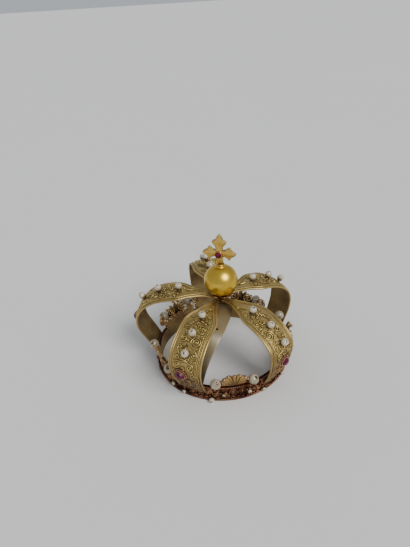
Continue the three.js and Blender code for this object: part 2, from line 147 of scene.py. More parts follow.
# Length of the drill and how far out its middle stands, so that the hole stays shallow
STRAP_DRILL = 6.0
STRAP_DRILL_OUT = 2.8

# Crests: name, azimuth, and the angle from the middle to either pearl
CRESTS = [
    ("front", -92.7, 14.8), ("right", -14.0, 20.5), ("back_right", 57.0, 14.5),
    ("back_left", 126.5, 15.0), ("left", 195.0, 16.0),
]
# How far the second pearl of a crest is bent inwards and up
BENT_PEARLS = {"right": (3.2, 4.0)}
# Crests with a second pair of volutes beyond their pearls
WIDE_CRESTS = ("back_right", "back_left")
CREST_RAIL_MARGIN = 4.5
CREST_RADIUS = 50.2
CREST_FLARE = 0.34
CREST_FOOT = BAND_HEIGHT + 0.3
CREST_WIRE = 0.7
CREST_RAIL_STEPS = 10
CREST_PEARL_RADIUS = 3.7
CREST_PEARL_RING = 53.4
CREST_PEARL_HEIGHT = 20.2
CREST_PEARL_HOLE = 1.25
# How much higher the pearls stand at the back than at the sides
CREST_PEARL_RISE = 2.2
CREST_STEM = 5.6
# Crest leaf: fingers on either side of the middle one, the angle between two, the middle one's
# reach, the height of their root, and the share of a finger where its rounded tip begins
LEAF_SIDE_FINGERS = 3
LEAF_ANGLE = 20
LEAF_REACH = 12.6
LEAF_ROOT = 2.8
LEAF_TIP = 0.7

# Orb and cross, which stand a little to the right of the axis
STACK = Vector((1.35, 0, 0))
ORB_RADIUS = 12.5
ORB_CENTRE = 70.4
CALYX_PETALS = 8
CROSS_SHIFT = Vector((-0.4, 0, 0))
CROSS_CENTRE = 93.3
CROSS_TOP_REACH = 14.6
CROSS_SIDE_REACH = 12.1
CROSS_THICKNESS = 1.6
CROSS_BEVEL = 0.15
CROSS_TURN = -27.0
CROSS_LEAN = 1.1
CROSS_GEM_SHIFT = -0.5
CROSS_GEM_DROP = 1.1
CROSS_FOOT = 83.9

# Filigree of one arch, in mm along the leaf and across it. A scroll has two spiral ends,
# each with its place, radius, turns and spin
ARCH_SCROLLS = [
    ((33.6, 0.6, 1.4, 1.0, 1), (37.2, 5.6, 1.8, 1.2, -1)),
    ((47.8, 4.6, 3.7, 2.0, 1), (57.0, 5.8, 1.9, 1.2, -1)),
    ((53.2, -5.6, 1.5, 1.0, 1), (59.6, -6.0, 1.7, 1.1, -1)),
    ((60.6, 2.2, 1.4, 1.0, 1), (66.0, 4.6, 2.5, 1.5, -1)),
    ((61.4, -1.8, 1.2, 0.9, -1), (65.6, -5.4, 3.0, 1.8, 1)),
    ((73.4, 8.0, 1.4, 1.0, -1), (80.4, 6.8, 2.0, 1.3, -1)),
    ((73.6, -7.9, 1.3, 1.0, 1), (80.6, -6.6, 2.1, 1.3, 1)),
    ((83.2, -2.6, 1.6, 1.1, 1), (88.0, 1.4, 1.8, 1.2, -1)),
    ((86.4, -6.4, 1.6, 1.1, 1), (92.4, -4.6, 1.6, 1.1, -1)),
    ((87.2, 6.6, 1.5, 1.0, -1), (93.0, 4.8, 1.6, 1.1, 1)),
]
ARCH_HOOK = [(22.4, 0.6), (19.8, 0.8), (17.7, 1.4), (17.0, 2.8), (17.6, 4.0), (18.8, 4.2)]
# Closed loops: centre, half length, half width and turn in degrees
ARCH_LOOPS = [
    (40.0, 4.4, 2.3, 1.25, 75), (40.6, 4.6, 1.3, 0.6, 75), (36.4, 2.0, 1.6, 0.75, 40),
    (70.2, 5.6, 1.6, 0.85, 20), (72.9, 5.9, 1.6, 0.85, -30), (76.2, 5.8, 1.6, 0.85, 40),
    (80.0, 2.6, 1.6, 0.85, 60), (83.4, 2.6, 1.6, 0.85, 20), (79.8, -2.2, 1.6, 0.85, -50),
]
# Single spirals: centre, and radius, turns, first angle and spin
ARCH_SPIRALS = [((47.0, -4.8), (2.7, 1.6, 3.4, 1)), ((41.6, -4.4), (1.5, 1.1, 0.6, -1))]
# Crimped ribbons of wire, as places along and across the leaf
ARCH_RIBBONS = [
    [(39.4, -6.6), (36.6, -6.6), (34.6, -5.4), (32.8, -4.1), (31.2, -2.4), (30.2, -0.8)],
    [(50.8, -3.2), (52.4, -2.2), (53.4, -0.4)],
    [(69.6, -3.6), (71.0, -6.0), (71.6, -8.0)],
]
# Insets of the thin lines, on the plain side and on the side of the large scroll, and of the rope
PLAIN_SIDE_LINES = (2.1,)
SCROLL_SIDE_LINES = (2.0, 3.9)
ROPE_INSET = 2.95
# Small filler curls: tries, places along the leaf, distance from its edge, radii, and the clear
# space that they keep from wires, pearls and the gem
FILLER_TRIES = 900
FILLER_PLACES = (26, 96)
FILLER_MARGIN = 4.9
FILLER_RADII = (0.9, 1.5)
FILLER_GAP = 0.7
FILLER_PEARL_GAP = 3.0
FILLER_GEM_GAP = 5.0
# Granules beside the stones
ARCH_GRANULES = [
    (31.4, 1.6), (32.0, 2.8), (24.6, 2.2), (25.2, -2.4), (41.6, -1.6), (43.4, 2.2), (54.0, 2.9),
    (55.0, -4.6), (57.0, 5.8), (58.6, 3.4), (61.4, 0.2), (68.4, 0.0), (70.2, -1.6), (72.4, -9.2),
    (75.4, -9.0), (79.6, 0.4), (84.6, 5.0), (84.0, -5.0), (90.2, -0.6), (63.4, -8.6), (69.8, 8.4),
]

# Crust at the feet of the arches, in metres: where it ends, where it is full and how uneven it is
CRUST_END = 0.047
CRUST_FULL = 0.033
CRUST_UNEVEN = 0.016
CRUST_METALLIC = 0.15
DULL_SPECULAR = 0.2
# Gilt finishes: colour, worn colour, roughness, depth in mm of the recesses that are darkened with grime and
# painted shade, and what else is special about them
GILT_FINISHES = {
    # The sheet turns to the field colour next to its filigree, as painted shade
    "sheet_gilt": ("sheet", "sheet_worn", 0.46, 1.8, {
        "foot": "crust", "stain": 0.97, "bump": 0.3, "grain": 1500.0, "film": 0.86, "field": "field"}),
    "rim_gilt": ("sheet_worn", "sheet", 0.4, 0.9, {"foot": "crust", "stain": 0.45, "bump": 0.2}),
    "sheet_back": ("back", "back_worn", 0.52, 1.6, {}),
    "wire_gilt": ("wire", "sheet", 0.36, 1.0, {"foot": "copper_worn", "stain": 0.72}),
    "copper_gilt": ("copper", "copper_worn", 0.4, 1.2, {}),
    "red_field": ("band_field", "copper_worn", 0.5, 2.0, {}),
    "rosy_gilt": ("rosy", "copper", 0.36, 0.6, {}),
    "crest_gilt": ("crest", "copper", 0.36, 1.2, {}),
    # The leaf carries painted shade on its cupped foot, in the worn reddish colour
    "leaf_gilt": ("leaf", "crest", 0.34, 1.8, {"film": 0.9, "field": "copper_worn"}),
    "orb_gilt": ("orb", "orb_worn", 0.3, 2.0, {"bump": 0.02}),
    "cross_gilt": ("cross", "orb_worn", 0.34, 0.8, {}),
    "calyx_gilt": ("calyx", "copper", 0.36, 2.0, {}),
    "strap_metal": ("strap", "back", 0.58, 1.0, {}),
}
PEARL_FINISHES = {"pearl_lustre": ("pearl", "pearl_shade"), "aged_pearl": ("pearl_aged", "pearl_stain")}
GLASS_FINISHES = {"purple_stone": ("purple", "purple_deep"), "red_stone": ("red", "red_deep")}

# Stage: lamps with the direction they shine from, spread in degrees and power, the sky's light, and
# the camera with its place in mm from the crown's axis, yaw, pitch and roll in degrees, and lens
LAMPS = [("key_light", (0.36, -0.63, 0.69), 32, 2.3)]
SKY_COLOUR = (0.88, 0.93, 1.0, 1.0)
SKY_STRENGTH = 0.52
FLOOR_SIZE = 40
CAMERA_PLACE = (-57.0, -278.0, 251.0)
CAMERA_ANGLES = (-9.55, 31.53, -3.44)
CAMERA_LENS = 29.98
CAMERA_SENSOR = 36.0
CAMERA_NEAR = 0.01


def linear(code):
    """Scene colour from a six-letter colour code."""
    shares = [int(code[k:k + 2], 16) / 255 for k in (0, 2, 4)]
    return [s / 12.92 if s <= 0.04045 else ((s + 0.055) / 1.055) ** 2.4 for s in shares] + [1.0]


def polar(radius, azimuth, height):
    angle = math.radians(azimuth)
    return Vector((radius * math.cos(angle), radius * math.sin(angle), height))


def row(point):
    """A point in mm from the crown's axis, as metres in the shared frame."""
    return Vector(point) * MM + AXIS


def spline_point(points, share):
    """A point on the smooth curve through the points, at an even share of its steps."""
    last = len(points) - 1
    place = min(max(share, 0.0), 1.0) * last
    step = min(int(place), last - 1)
    t = place - step
    p0, p1, p2, p3 = (Vector(points[min(max(step + k, 0), last)]) for k in (-1, 0, 1, 2))
    v0, v1 = (p2 - p0) / 2, (p3 - p1) / 2
    return (2 * p1 - 2 * p2 + v0 + v1) * t ** 3 + (3 * p2 - 3 * p1 - 2 * v0 - v1) * t ** 2 + v0 * t + p1


def length_table(points, steps=400):
    """Points at even steps of the smooth curve, and the length reached at each."""
    places = [spline_point(points, k / steps) for k in range(steps + 1)]
    lengths = [0.0]
    for before, after in zip(places, places[1:]):
        lengths.append(lengths[-1] + (after - before).length)
    return places, lengths


ARCH_POINTS, ARCH_LENGTHS = length_table(ARCH_PROFILE)
ARCH_LENGTH = ARCH_LENGTHS[-1]


def even_point(places, lengths, share):
    """A point at a share of a curve's whole length."""
    goal = min(max(share, 0.0), 1.0) * lengths[-1]
    low, high = 0, len(lengths) - 1
    while high - low > 1:
        middle = (low + high) // 2
        if lengths[middle] <= goal:
            low = middle
        else:
            high = middle
    part = (goal - lengths[low]) / (lengths[high] - lengths[low])
    return places[low].lerp(places[high], part)


def leaf_half_width(place):
    shares = [share for share, _ in ARCH_HALF_WIDTH]
    step = max(1, next(k for k, share in enumerate(shares) if share >= place - 1e-9))
    part = (place - shares[step - 1]) / (shares[step] - shares[step - 1])
    return spline_point(ARCH_HALF_WIDTH, (step - 1 + part) / (len(shares) - 1)).y


def leaf_skew(arch, place):
    return arch.skew * math.sin(math.pi * min(1.0, place / SKEW_LENGTH))


def arch_line(arch, place):
    """Radius and height of one arch's middle line."""
    radius, height = even_point(ARCH_POINTS, ARCH_LENGTHS, place)
    share = min(1.0, height / SHOULDER_HEIGHT)
    swell = math.exp(-(((height - BELLY_HEIGHT) / BELLY_SPREAD) ** 2))
    settled = radius * (1 + arch.reach * share) + arch.belly * swell
    return Vector((settled, height + arch.lean * settled * share))


def on_arch(arch, place, across, lift=0.0):
    """Point and outward normal in mm, at a lift above the arch's middle surface."""
    step = 0.004
    point = arch_line(arch, place)
    along = (arch_line(arch, min(1.0, place + step)) - arch_line(arch, max(0.0, place - step))).normalized()
    drop = across ** 2 / (2 * CROWNING_RADIUS)
    outward = polar(1, arch.azimuth, 0)
    sideways = Vector((-outward.y, outward.x, 0))
    position = outward * (point.x + along.y * drop) + sideways * across
    position.z = point.y - along.x * drop
    normal = outward * -along.y + sideways * (across / CROWNING_RADIUS)
    normal.z = along.x
    normal.normalize()
    return position + normal * lift, normal


def spiral(centre, radius, turns, angle, spin, core=0.18):
    """Points of a spiral from its outer end inwards."""
    count = max(8, round(turns * 15))
    points = []
    for k in range(count + 1):
        share = k / count
        reach = radius * (1 - (1 - core) * share)
        turn = angle + spin * 2 * math.pi * turns * share
        points.append(Vector((centre[0] + reach * math.cos(turn), centre[1] + reach * math.sin(turn))))
    return points


def scroll(first, second, bow=0.55):
    """Points of a C or S scroll: a bowed stem leaves one spiral and winds into the other."""
    a, b = Vector(first[:2]), Vector(second[:2])
    (ra, ta, sa), (rb, tb, sb) = first[2:], second[2:]
    apart = b - a
    unit = apart.normalized()
    k = (ra * sa - rb * sb) / apart.length
    side = unit * k - Vector((-unit.y, unit.x)) * math.sqrt(max(0.0, 1 - k * k))
    leave = math.atan2(side.y * sa, side.x * sa) - sa * bow
    arrive = math.atan2(side.y * sb, side.x * sb) + sb * bow
    out = spiral(a, ra, ta, leave, -sa)[::-1]
    into = spiral(b, rb, tb, arrive, sb)
    start, end = out[-1], into[0]
    pull = 1.1 * (end - start).length
    away = Vector((-math.sin(leave), math.cos(leave))) * sa * pull
    home = Vector((-math.sin(arrive), math.cos(arrive))) * sb * pull
    bridge = []
    for t in (1 / 6, 1 / 3, 1 / 2, 2 / 3, 5 / 6):
        bridge.append(
            start * (2 * t ** 3 - 3 * t ** 2 + 1) + away * (t ** 3 - 2 * t ** 2 + t)
            + end * (3 * t ** 2 - 2 * t ** 3) + home * (t ** 3 - t ** 2))
    return out + bridge + into


def loop(along, across, long, wide, turn, count=16):
    """Points of a closed oval loop."""
    angle = math.radians(turn)
    points = []
    for k in range(count):
        u, v = long * math.cos(2 * math.pi * k / count), wide * math.sin(2 * math.pi * k / count)
        x = along + u * math.cos(angle) - v * math.sin(angle)
        y = across + u * math.sin(angle) + v * math.cos(angle)
        points.append(Vector((x, y)))
    return points


def crimped(path, wave, depth):
    """Points of a ribbon of wire that zigzags along a path."""
    places, lengths = length_table(path, 60)
    count = max(4, 2 * round(lengths[-1] / wave))
    points = []
    for k in range(count + 1):
        here = even_point(places, lengths, k / count)
        ahead = even_point(places, lengths, k / count + 0.02) - even_point(places, lengths, k / count - 0.02)
        ahead.normalize()
        points.append(here + Vector((-ahead.y, ahead.x)) * depth * (1 if k % 2 else -1))
    return points


def twisted(path, radius, pitch, strands=2, steps=7):
    """Strands of a rope about a path of points and normals, in mm."""
    lengths = [0.0]
    for (before, _), (after, _) in zip(path, path[1:]):
        lengths.append(lengths[-1] + (after - before).length)
    count = max(steps, round(lengths[-1] / pitch * steps))
    ropes = [[] for _ in range(strands)]
    spot = 0
    for k in range(count + 1):
        goal = lengths[-1] * k / count
        while spot < len(lengths) - 2 and lengths[spot + 1] < goal:
            spot += 1
        part = (goal - lengths[spot]) / max(1e-9, lengths[spot + 1] - lengths[spot])
        (p, n), (q, m) = path[spot], path[spot + 1]
        here, normal = p.lerp(q, part), n.lerp(m, part).normalized()
        side = normal.cross(q - p).normalized()
        for strand in range(strands):
            turn = 2 * math.pi * (goal / pitch + strand / strands)
            ropes[strand].append(here + (normal * math.cos(turn) + side * math.sin(turn)) * radius)
    return ropes


def deselect():
    if bpy.context.object and bpy.context.object.mode != "OBJECT":
        bpy.ops.object.mode_set(mode="OBJECT")
    bpy.ops.object.select_all(action="DESELECT")


def pick(piece, *others):
    deselect()
    for one in (piece, *others):
        one.select_set(True)
    bpy.context.view_layer.objects.active = piece


def new_object(name, mesh):
    piece = bpy.data.objects.new(name, mesh)
    bpy.context.scene.collection.objects.link(piece)
    pick(piece)
    return piece


def apply_modifiers(piece):
    pick(piece)
    for modifier in list(piece.modifiers):
        bpy.ops.object.modifier_apply(modifier=modifier.name)


def face_out(piece):
    """Merges doubles and turns the faces outwards."""
    pick(piece)
    bpy.ops.object.mode_set(mode="EDIT")
    bpy.ops.mesh.select_all(action="SELECT")
    bpy.ops.mesh.remove_doubles(threshold=1e-6)
    bpy.ops.mesh.normals_make_consistent(inside=False)
    bpy.ops.object.mode_set(mode="OBJECT")


def smooth(piece, angle):
    """Smooths a piece where its faces meet at less than an angle in degrees."""
    pick(piece)
    bpy.ops.object.shade_smooth_by_angle(angle=math.radians(angle))


def grid(columns, rows):
    """A flat grid from -1 to 1 both ways, to be bent into a sheet."""
    deselect()
    bpy.ops.mesh.primitive_grid_add(x_subdivisions=columns, y_subdivisions=rows, size=2)
    return bpy.context.object


def thicken(piece, thickness, *finishes, offset=-1):
    """Gives a sheet its thickness in mm and its finishes; a second one is that of its inner face."""
    wall = piece.modifiers.new("thickness", "SOLIDIFY")
    wall.thickness = thickness * MM
    wall.offset = offset
    wall.material_offset = len(finishes) - 1
    for name in finishes:
        piece.data.materials.append(finish(name))
    apply_modifiers(piece)


def join(name, pieces):
    pick(*pieces)
    bpy.ops.object.join()
    piece = bpy.context.object
    piece.name = piece.data.name = name
    return piece


def wires(name, strands, radius, material, sides=6):
    """Mesh of round wires. A strand is its points in mm, its thickness share and whether it is a ring."""
    curve = bpy.data.curves.new(name, "CURVE")
    curve.dimensions = "3D"
    curve.bevel_depth = radius * MM
    curve.bevel_resolution = (sides - 4) // 2
    curve.use_fill_caps = True
    for points, share, ring in strands:
        spline = curve.splines.new("POLY")
        spline.points.add(len(points) - 1)
        spline.use_cyclic_u = ring
        spline.use_smooth = True
        for knot, point in zip(spline.points, points):
            knot.co = (*row(point), 1.0)
            knot.radius = share
    new_object(name, curve)
    bpy.ops.object.convert(target="MESH")
    piece = bpy.context.object
    piece.data.materials.clear()
    piece.data.materials.append(material)
    return piece


def ball(name, radius, segments, rings):
    """A ball at the origin, with a radius in mm."""
    deselect()
    bpy.ops.mesh.primitive_uv_sphere_add(segments=segments, ring_count=rings, radius=radius * MM)
    piece = bpy.context.object
    piece.name = piece.data.name = name
    return piece


def lathe(name, outline, sides, material, flat_angle=35):
    """A turned piece about +Z at the origin, in metres, from its radius and height outline in mm."""
    mesh = bpy.data.meshes.new(name)
    points = [(radius * MM, 0, height * MM) for radius, height in outline]
    mesh.from_pydata(points, [(k, k + 1) for k in range(len(points) - 1)], [])
    piece = new_object(name, mesh)
    turn = piece.modifiers.new("turn", "SCREW")
    turn.steps = turn.render_steps = sides
    turn.use_merge_vertices = True
    turn.merge_threshold = 1e-6
    apply_modifiers(piece)
    face_out(piece)
    smooth(piece, flat_angle)
    piece.data.materials.append(material)
    return piece


def standing(point, normal):
    """Placement of a piece made along +Z onto a point in mm along a normal."""
    turn = Vector((0, 0, 1)).rotation_difference(normal).to_matrix().to_4x4()
    return Matrix.Translation(row(point)) @ turn


def copy_of(template, name, placement):
    piece = new_object(name, template.data.copy())
    piece.data.name = name
    piece.data.transform(placement)
    return piece


def granules(name, spots, material):
    """Small solder beads. A spot is its point in mm and its radius."""
    pattern = ball("granule", 1.0, 8, 5)
    corners = [corner.co.copy() for corner in pattern.data.vertices]
    sides = [list(face.vertices) for face in pattern.data.polygons]
    bpy.data.objects.remove(pattern)
    points, faces = [], []
    for point, radius in spots:
        first, centre = len(points), row(point)
        points += [centre + corner * radius for corner in corners]
        faces += [[first + index for index in side] for side in sides]
    mesh = bpy.data.meshes.new(name)
    mesh.from_pydata(points, [], faces)
    piece = new_object(name, mesh)
    bpy.ops.object.shade_smooth()
    mesh.materials.append(material)
    return piece


def hand_over(piece, slot, *nodes):
    """Puts a finished piece on the crown, in place of its plain solids."""
    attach(piece, "root")
    if nodes:
        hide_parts(*nodes)


def add_node(tree, kind, settings=None, values=None, links=None):
    node = tree.nodes.new(kind)
    for key, value in (settings or {}).items():
        setattr(node, key, value)
    for key, value in (values or {}).items():
        node.inputs[key].default_value = value
    for key, socket in (links or {}).items():
        tree.links.new(socket, node.inputs[key])
    return node


def start_material(name):
    material = bpy.data.materials.new(name)
    material.use_nodes = True
    tree = material.node_tree
    shader = tree.nodes["Principled BSDF"]
    coords = add_node(tree, "ShaderNodeTexCoord").outputs["Object"]
    return material, tree, shader, coords


def cloud(tree, coords, scale, detail=3.0, rough=0.55):
    values = {"Scale": scale, "Detail": detail, "Roughness": rough}
    return add_node(tree, "ShaderNodeTexNoise", None, values, {"Vector": coords}).outputs["Fac"]


def spread(tree, socket, low, high, to_low=0.0, to_high=1.0):
    values = {"From Min": low, "From Max": high, "To Min": to_low, "To Max": to_high}
    return add_node(tree, "ShaderNodeMapRange", None, values, {"Value": socket}).outputs["Result"]


def blended(tree, share, first, second):
    """Colour mix: first and second are colours or sockets."""
    node = add_node(tree, "ShaderNodeMix", {"data_type": "RGBA"})
    tree.links.new(share, node.inputs["Factor"])
    for socket, value in ((node.inputs[6], first), (node.inputs[7], second)):
        if isinstance(value, bpy.types.NodeSocket):
            tree.links.new(value, socket)
        else:
            socket.default_value = value
    return node.outputs[2]


def recess(tree, depth):
    """How deep a spot lies in a hollow of its own piece, from 0 to 1."""
    # Ambient occlusion of the piece alone: where it is low, shade is painted into the colour
    hollow = add_node(
        tree, "ShaderNodeAmbientOcclusion", {"samples": 8, "only_local": True}, {"Distance": depth * MM})
    return spread(tree, hollow.outputs["AO"], 0.86, 0.36)


def painted_shade_mark(tree):
    """How much painted shade the mesh is marked with, from 0 to 1."""
    return add_node(tree, "ShaderNodeAttribute", {"attribute_name": "film"}).outputs["Fac"]


def scaled_sum(tree, socket, scale, base):
    links = {0: socket, 2: base}
    return add_node(tree, "ShaderNodeMath", {"operation": "MULTIPLY_ADD"}, {1: scale}, links).outputs["Value"]


def gilt(
        name, colour, worn, grime_and_shade, roughness, depth, foot=None, stain=0.0, bump=0.12, grain=900.0,
        film=0.0, field=None):
    """Gilt metal: two colours in soft patches, fine specks, and grime with painted shade in its recesses."""
    material, tree, shader, coords = start_material(name)
    patches = cloud(tree, coords, 70.0)
    specks = cloud(tree, coords, grain, 4.0, 0.6)
    coat = blended(tree, spread(tree, patches, 0.36, 0.66), colour, worn)
    coat = blended(tree, spread(tree, specks, 0.62, 0.8, 0.0, 0.45), coat, grime_and_shade)
    # Painted shade: where the mesh is marked, the colour turns towards the field colour
    if film:
        coat = blended(tree, spread(tree, painted_shade_mark(tree), 0.0, 1.0, 0.0, film), coat, field)
    if foot:
        height = add_node(tree, "ShaderNodeSeparateXYZ", links={"Vector": coords}).outputs["Z"]
        uneven = scaled_sum(tree, patches, CRUST_UNEVEN, height)
        crust = spread(tree, uneven, CRUST_END, CRUST_FULL, 0.0, stain)
        coat = blended(tree, crust, coat, foot)
        tree.links.new(spread(tree, crust, 0.0, 1.0, 1.0, CRUST_METALLIC), shader.inputs["Metallic"])
        shader.inputs["Specular IOR Level"].default_value = DULL_SPECULAR
    else:
        shader.inputs["Metallic"].default_value = 1.0
    # The recesses turn towards the grime colour: partly grime, partly painted shade
    recess_dirt_and_shade = recess(tree, depth)
    tree.links.new(blended(tree, recess_dirt_and_shade, coat, grime_and_shade), shader.inputs["Base Color"])
    dull = spread(tree, patches, 0.3, 0.7, roughness - 0.07, roughness + 0.08)
    tree.links.new(scaled_sum(tree, recess_dirt_and_shade, 0.3, dull), shader.inputs["Roughness"])
    relief = add_node(
        tree, "ShaderNodeBump", None, {"Strength": bump, "Distance": 0.0003}, {"Height": specks})
    tree.links.new(relief.outputs["Normal"], shader.inputs["Normal"])
    return material


def pearl_finish(name, colour, shadow, grime_and_shade):
    material, tree, shader, coords = start_material(name)
    rings = cloud(tree, coords, 260.0, 2.0)
    coat = blended(tree, spread(tree, rings, 0.35, 0.7), colour, shadow)
    # Painted shade from the marks: towards the seat, and in the drill hole
    coat = blended(tree, painted_shade_mark(tree), coat, grime_and_shade)
    # Ambient occlusion paints more shade into the drill hole
    tree.links.new(blended(tree, recess(tree, 1.6), coat, grime_and_shade), shader.inputs["Base Color"])
    tree.links.new(spread(tree, rings, 0.3, 0.7, 0.14, 0.26), shader.inputs["Roughness"])
    shader.inputs["IOR"].default_value = 1.9
    return material


def glass_finish(name, colour, deep):
    material, tree, shader, coords = start_material(name)
    flaws = cloud(tree, coords, 420.0, 3.0)
    coat = blended(tree, spread(tree, flaws, 0.38, 0.68), colour, deep)
    tree.links.new(coat, shader.inputs["Base Color"])
    tree.links.new(spread(tree, flaws, 0.3, 0.7, 0.1, 0.24), shader.inputs["Roughness"])
    shader.inputs["IOR"].default_value = 1.5
    shader.inputs["Specular IOR Level"].default_value = DULL_SPECULAR
    return material


def floor_finish(colour):
    material, tree, shader, coords = start_material("pale_floor")
    haze = cloud(tree, coords, 3.0, 2.0)
    shade = [channel * 0.97 for channel in colour[:3]] + [1.0]
    tree.links.new(blended(tree, haze, colour, shade), shader.inputs["Base Color"])
    shader.inputs["Roughness"].default_value = 0.85
    return material


def scene_colour(key):
    return list(getattr(bpy.context.scene.crown_colours, key))


def finish(name):
    """A finish of the crown, made once from the scene's colours."""
    made = bpy.data.materials.get(name)
    if made:
        return made
    if name in PEARL_FINISHES:
        return pearl_finish(name, *map(scene_colour, PEARL_FINISHES[name]), scene_colour("grime_and_shade"))
    if name in GLASS_FINISHES:
        return glass_finish(name, *map(scene_colour, GLASS_FINISHES[name]))
    colour, worn, roughness, depth, extras = GILT_FINISHES[name]
    extras = {key: scene_colour(value) if isinstance(value, str) else value for key, value in extras.items()}
    return gilt(
        name, scene_colour(colour), scene_colour(worn), scene_colour("grime_and_shade"), roughness, depth, **extras)


def tone(title, code, words):
    return bpy.props.FloatVectorProperty(
        name=title, description=words, subtype="COLOR", size=4, min=0.0, max=1.0, default=linear(code))


def length(title, value, words):
    return bpy.props.FloatProperty(
        name=title, description=words, default=value * MM, min=0.0, subtype="DISTANCE", unit="LENGTH")


class CrownColours(bpy.types.PropertyGroup):
    """Colours of the crown's finishes."""

    sheet: tone("Sheet", "cbb172", "Pale gilding of the arches")
    sheet_worn: tone("Worn sheet", "ae945a", "Gilding where it has thinned")
    # Colour of the painted shade on the arch sheets next to the filigree wires
    field: tone("Field", "6a4d26", "Dull field between the filigree wires")
    back: tone("Inner face", "a69062", "Plain inner faces of the arches, the band and the crests")
    back_worn: tone("Worn inner face", "80694a", "Inner faces where they have dulled")
    wire: tone("Wire", "dabf72", "Filigree wire and granules")
    copper: tone("Reddish gilding", "a8785c", "Wires of the band, and patches of crests, bezels and calyx")
    # Also the colour of the painted shade on the crest leaves
    copper_worn: tone("Worn reddish gilding", "5e3828", "Thin gilding of the band, and wires at their feet")
    rosy: tone("Rosy gilding", "bd9a80", "Bezels of the foot gems, and tips of the crest leaves")
    # On the knobs of the crest leaves' tips this colour is a painted highlight
    crest: tone("Crest wire", "c4a96c", "Volutes and scrolls of the crests")
    leaf: tone("Crest leaf", "d4b366", "Leaves and cups of the crests, and granules of the band")
    orb: tone("Orb", "e2bf4c", "Polished orb")
    orb_worn: tone("Worn orb", "cda63c", "Orb and cross where they have dulled")
    cross: tone("Cross", "d8b462", "Cross and its socket")
    calyx: tone("Calyx", "8f5f26", "Calyx under the orb")
    strap: tone("Strap", "a89e88", "Plain strap inside the arches")
    # Grime, and the colour of the painted shade in recesses, at pearl seats and in drill holes
    grime_and_shade: tone("Grime", "2a1c0e", "Dull film in the recesses")
    pearl: tone("Pearl", "d0c5aa", "Pearls")
    pearl_shade: tone("Pearl shade", "ac9d82", "Darker patches of the pearls")
    pearl_aged: tone("Aged pearl", "b9ad92", "Large pearls of the crests")
    pearl_stain: tone("Stained pearl", "85755a", "Stains of the large pearls")
    purple: tone("Purple glass", "6a163e", "Foot gems")
    purple_deep: tone("Deep purple glass", "30081e", "Darker depth of the foot gems")
    band_field: tone("Band field", "321a16", "Dark reddish field of the band and the crests")
    crust: tone("Crust", "52220c", "Rusty crust at the feet of the arches")
    red: tone("Red glass", "74163c", "Gem of the cross")
    red_deep: tone("Deep red glass", "2a0614", "Darker depth of the cross gem")
    floor: tone("Floor", "eae8e4", "Pale studio floor")


class CrownSizes(bpy.types.PropertyGroup):
    """Sizes of the fine work."""

    wire: length("Filigree wire", 0.4, "Radius of the filigree wire")
    rim: length("Rim wire", 0.72, "Radius of the smooth rim along each arch")
    line: length("Line wire", 0.4, "Radius of the thin lines inside the rim")
    granule: length("Granule", 0.62, "Radius of a granule")


def arch_sheet(arch):
    """The leaf: a fine grid laid on the arch, hammered a little and given its thickness."""
    piece = grid(200, 50)
    for corner in piece.data.vertices:
        place = (corner.co.x + 1) / 2
        across = corner.co.y * leaf_half_width(place) + leaf_skew(arch, place)
        point, normal = on_arch(arch, place, across, HALF_SHEET)
        dent = 0.14 * noise.noise(point * 0.16) + 0.05 * noise.noise(point * 0.5)
        corner.co = row(point + normal * dent)
    thicken(piece, 2 * HALF_SHEET, "sheet_gilt", "sheet_back")
    smooth(piece, 40)
    return piece


def arch_edge(arch, side, inset, lift, start=0.03, end=0.985, count=90):
    """Points and normals along one edge of the leaf."""
    path = []
    for k in range(count + 1):
        place = start + (end - start) * k / count
        across = side * max(0.0, leaf_half_width(place) - inset) + leaf_skew(arch, place)
        path.append(on_arch(arch, place, across, HALF_SHEET + lift))
    return path


def shade_field(sheet, points):
    """Marks how near each corner of the sheet is to the filigree, for the painted shade that darkens the
    field there.
    """
    tree = kdtree.KDTree(len(points))
    for k, point in enumerate(points):
        tree.insert(row(point), k)
    tree.balance()
    shade_marks = sheet.data.attributes.new("film", "FLOAT", "POINT")
    for corner in sheet.data.vertices:
        gap = tree.find(corner.co)[2] / MM
        near = min(1.0, max(0.0, 1 - (gap - 0.6) / 0.7))
        about = min(1.0, max(0.0, 1 - (gap - 1.2) / 2.5))
        shade_marks.data[corner.index].value = 0.88 * near + 0.06 * about


def filler_curls(arch, taken):
    """Small curls in the gaps between the larger scrolls, as points along and across the leaf."""
    draw = random.Random(arch.name)
    stones = [(place, arch.pearl_shift, FILLER_PEARL_GAP) for place in PEARL_PLACES.values()]
    stones.append((GEM_PLACE, arch.gem_shift, FILLER_GEM_GAP))
    stones = [(Vector((place * ARCH_LENGTH, arch.hand * shift)), gap) for place, shift, gap in stones]
    curls = []
    for _ in range(FILLER_TRIES):
        along = draw.uniform(*FILLER_PLACES)
        reach = leaf_half_width(along / ARCH_LENGTH) - FILLER_MARGIN
        spot, size = Vector((along, draw.uniform(-reach, reach))), draw.uniform(*FILLER_RADII)
        if any((spot - stone).length < gap + 0.8 * size for stone, gap in stones):
            continue
        if any((spot - point).length < size + FILLER_GAP for point in taken):
            continue
        curl = spiral(spot, size, 1.15, draw.uniform(0, 2 * math.pi), draw.choice((-1, 1)), 0.25)
        taken = taken + curl
        curls.append((curl, 0.8, False))
    return curls


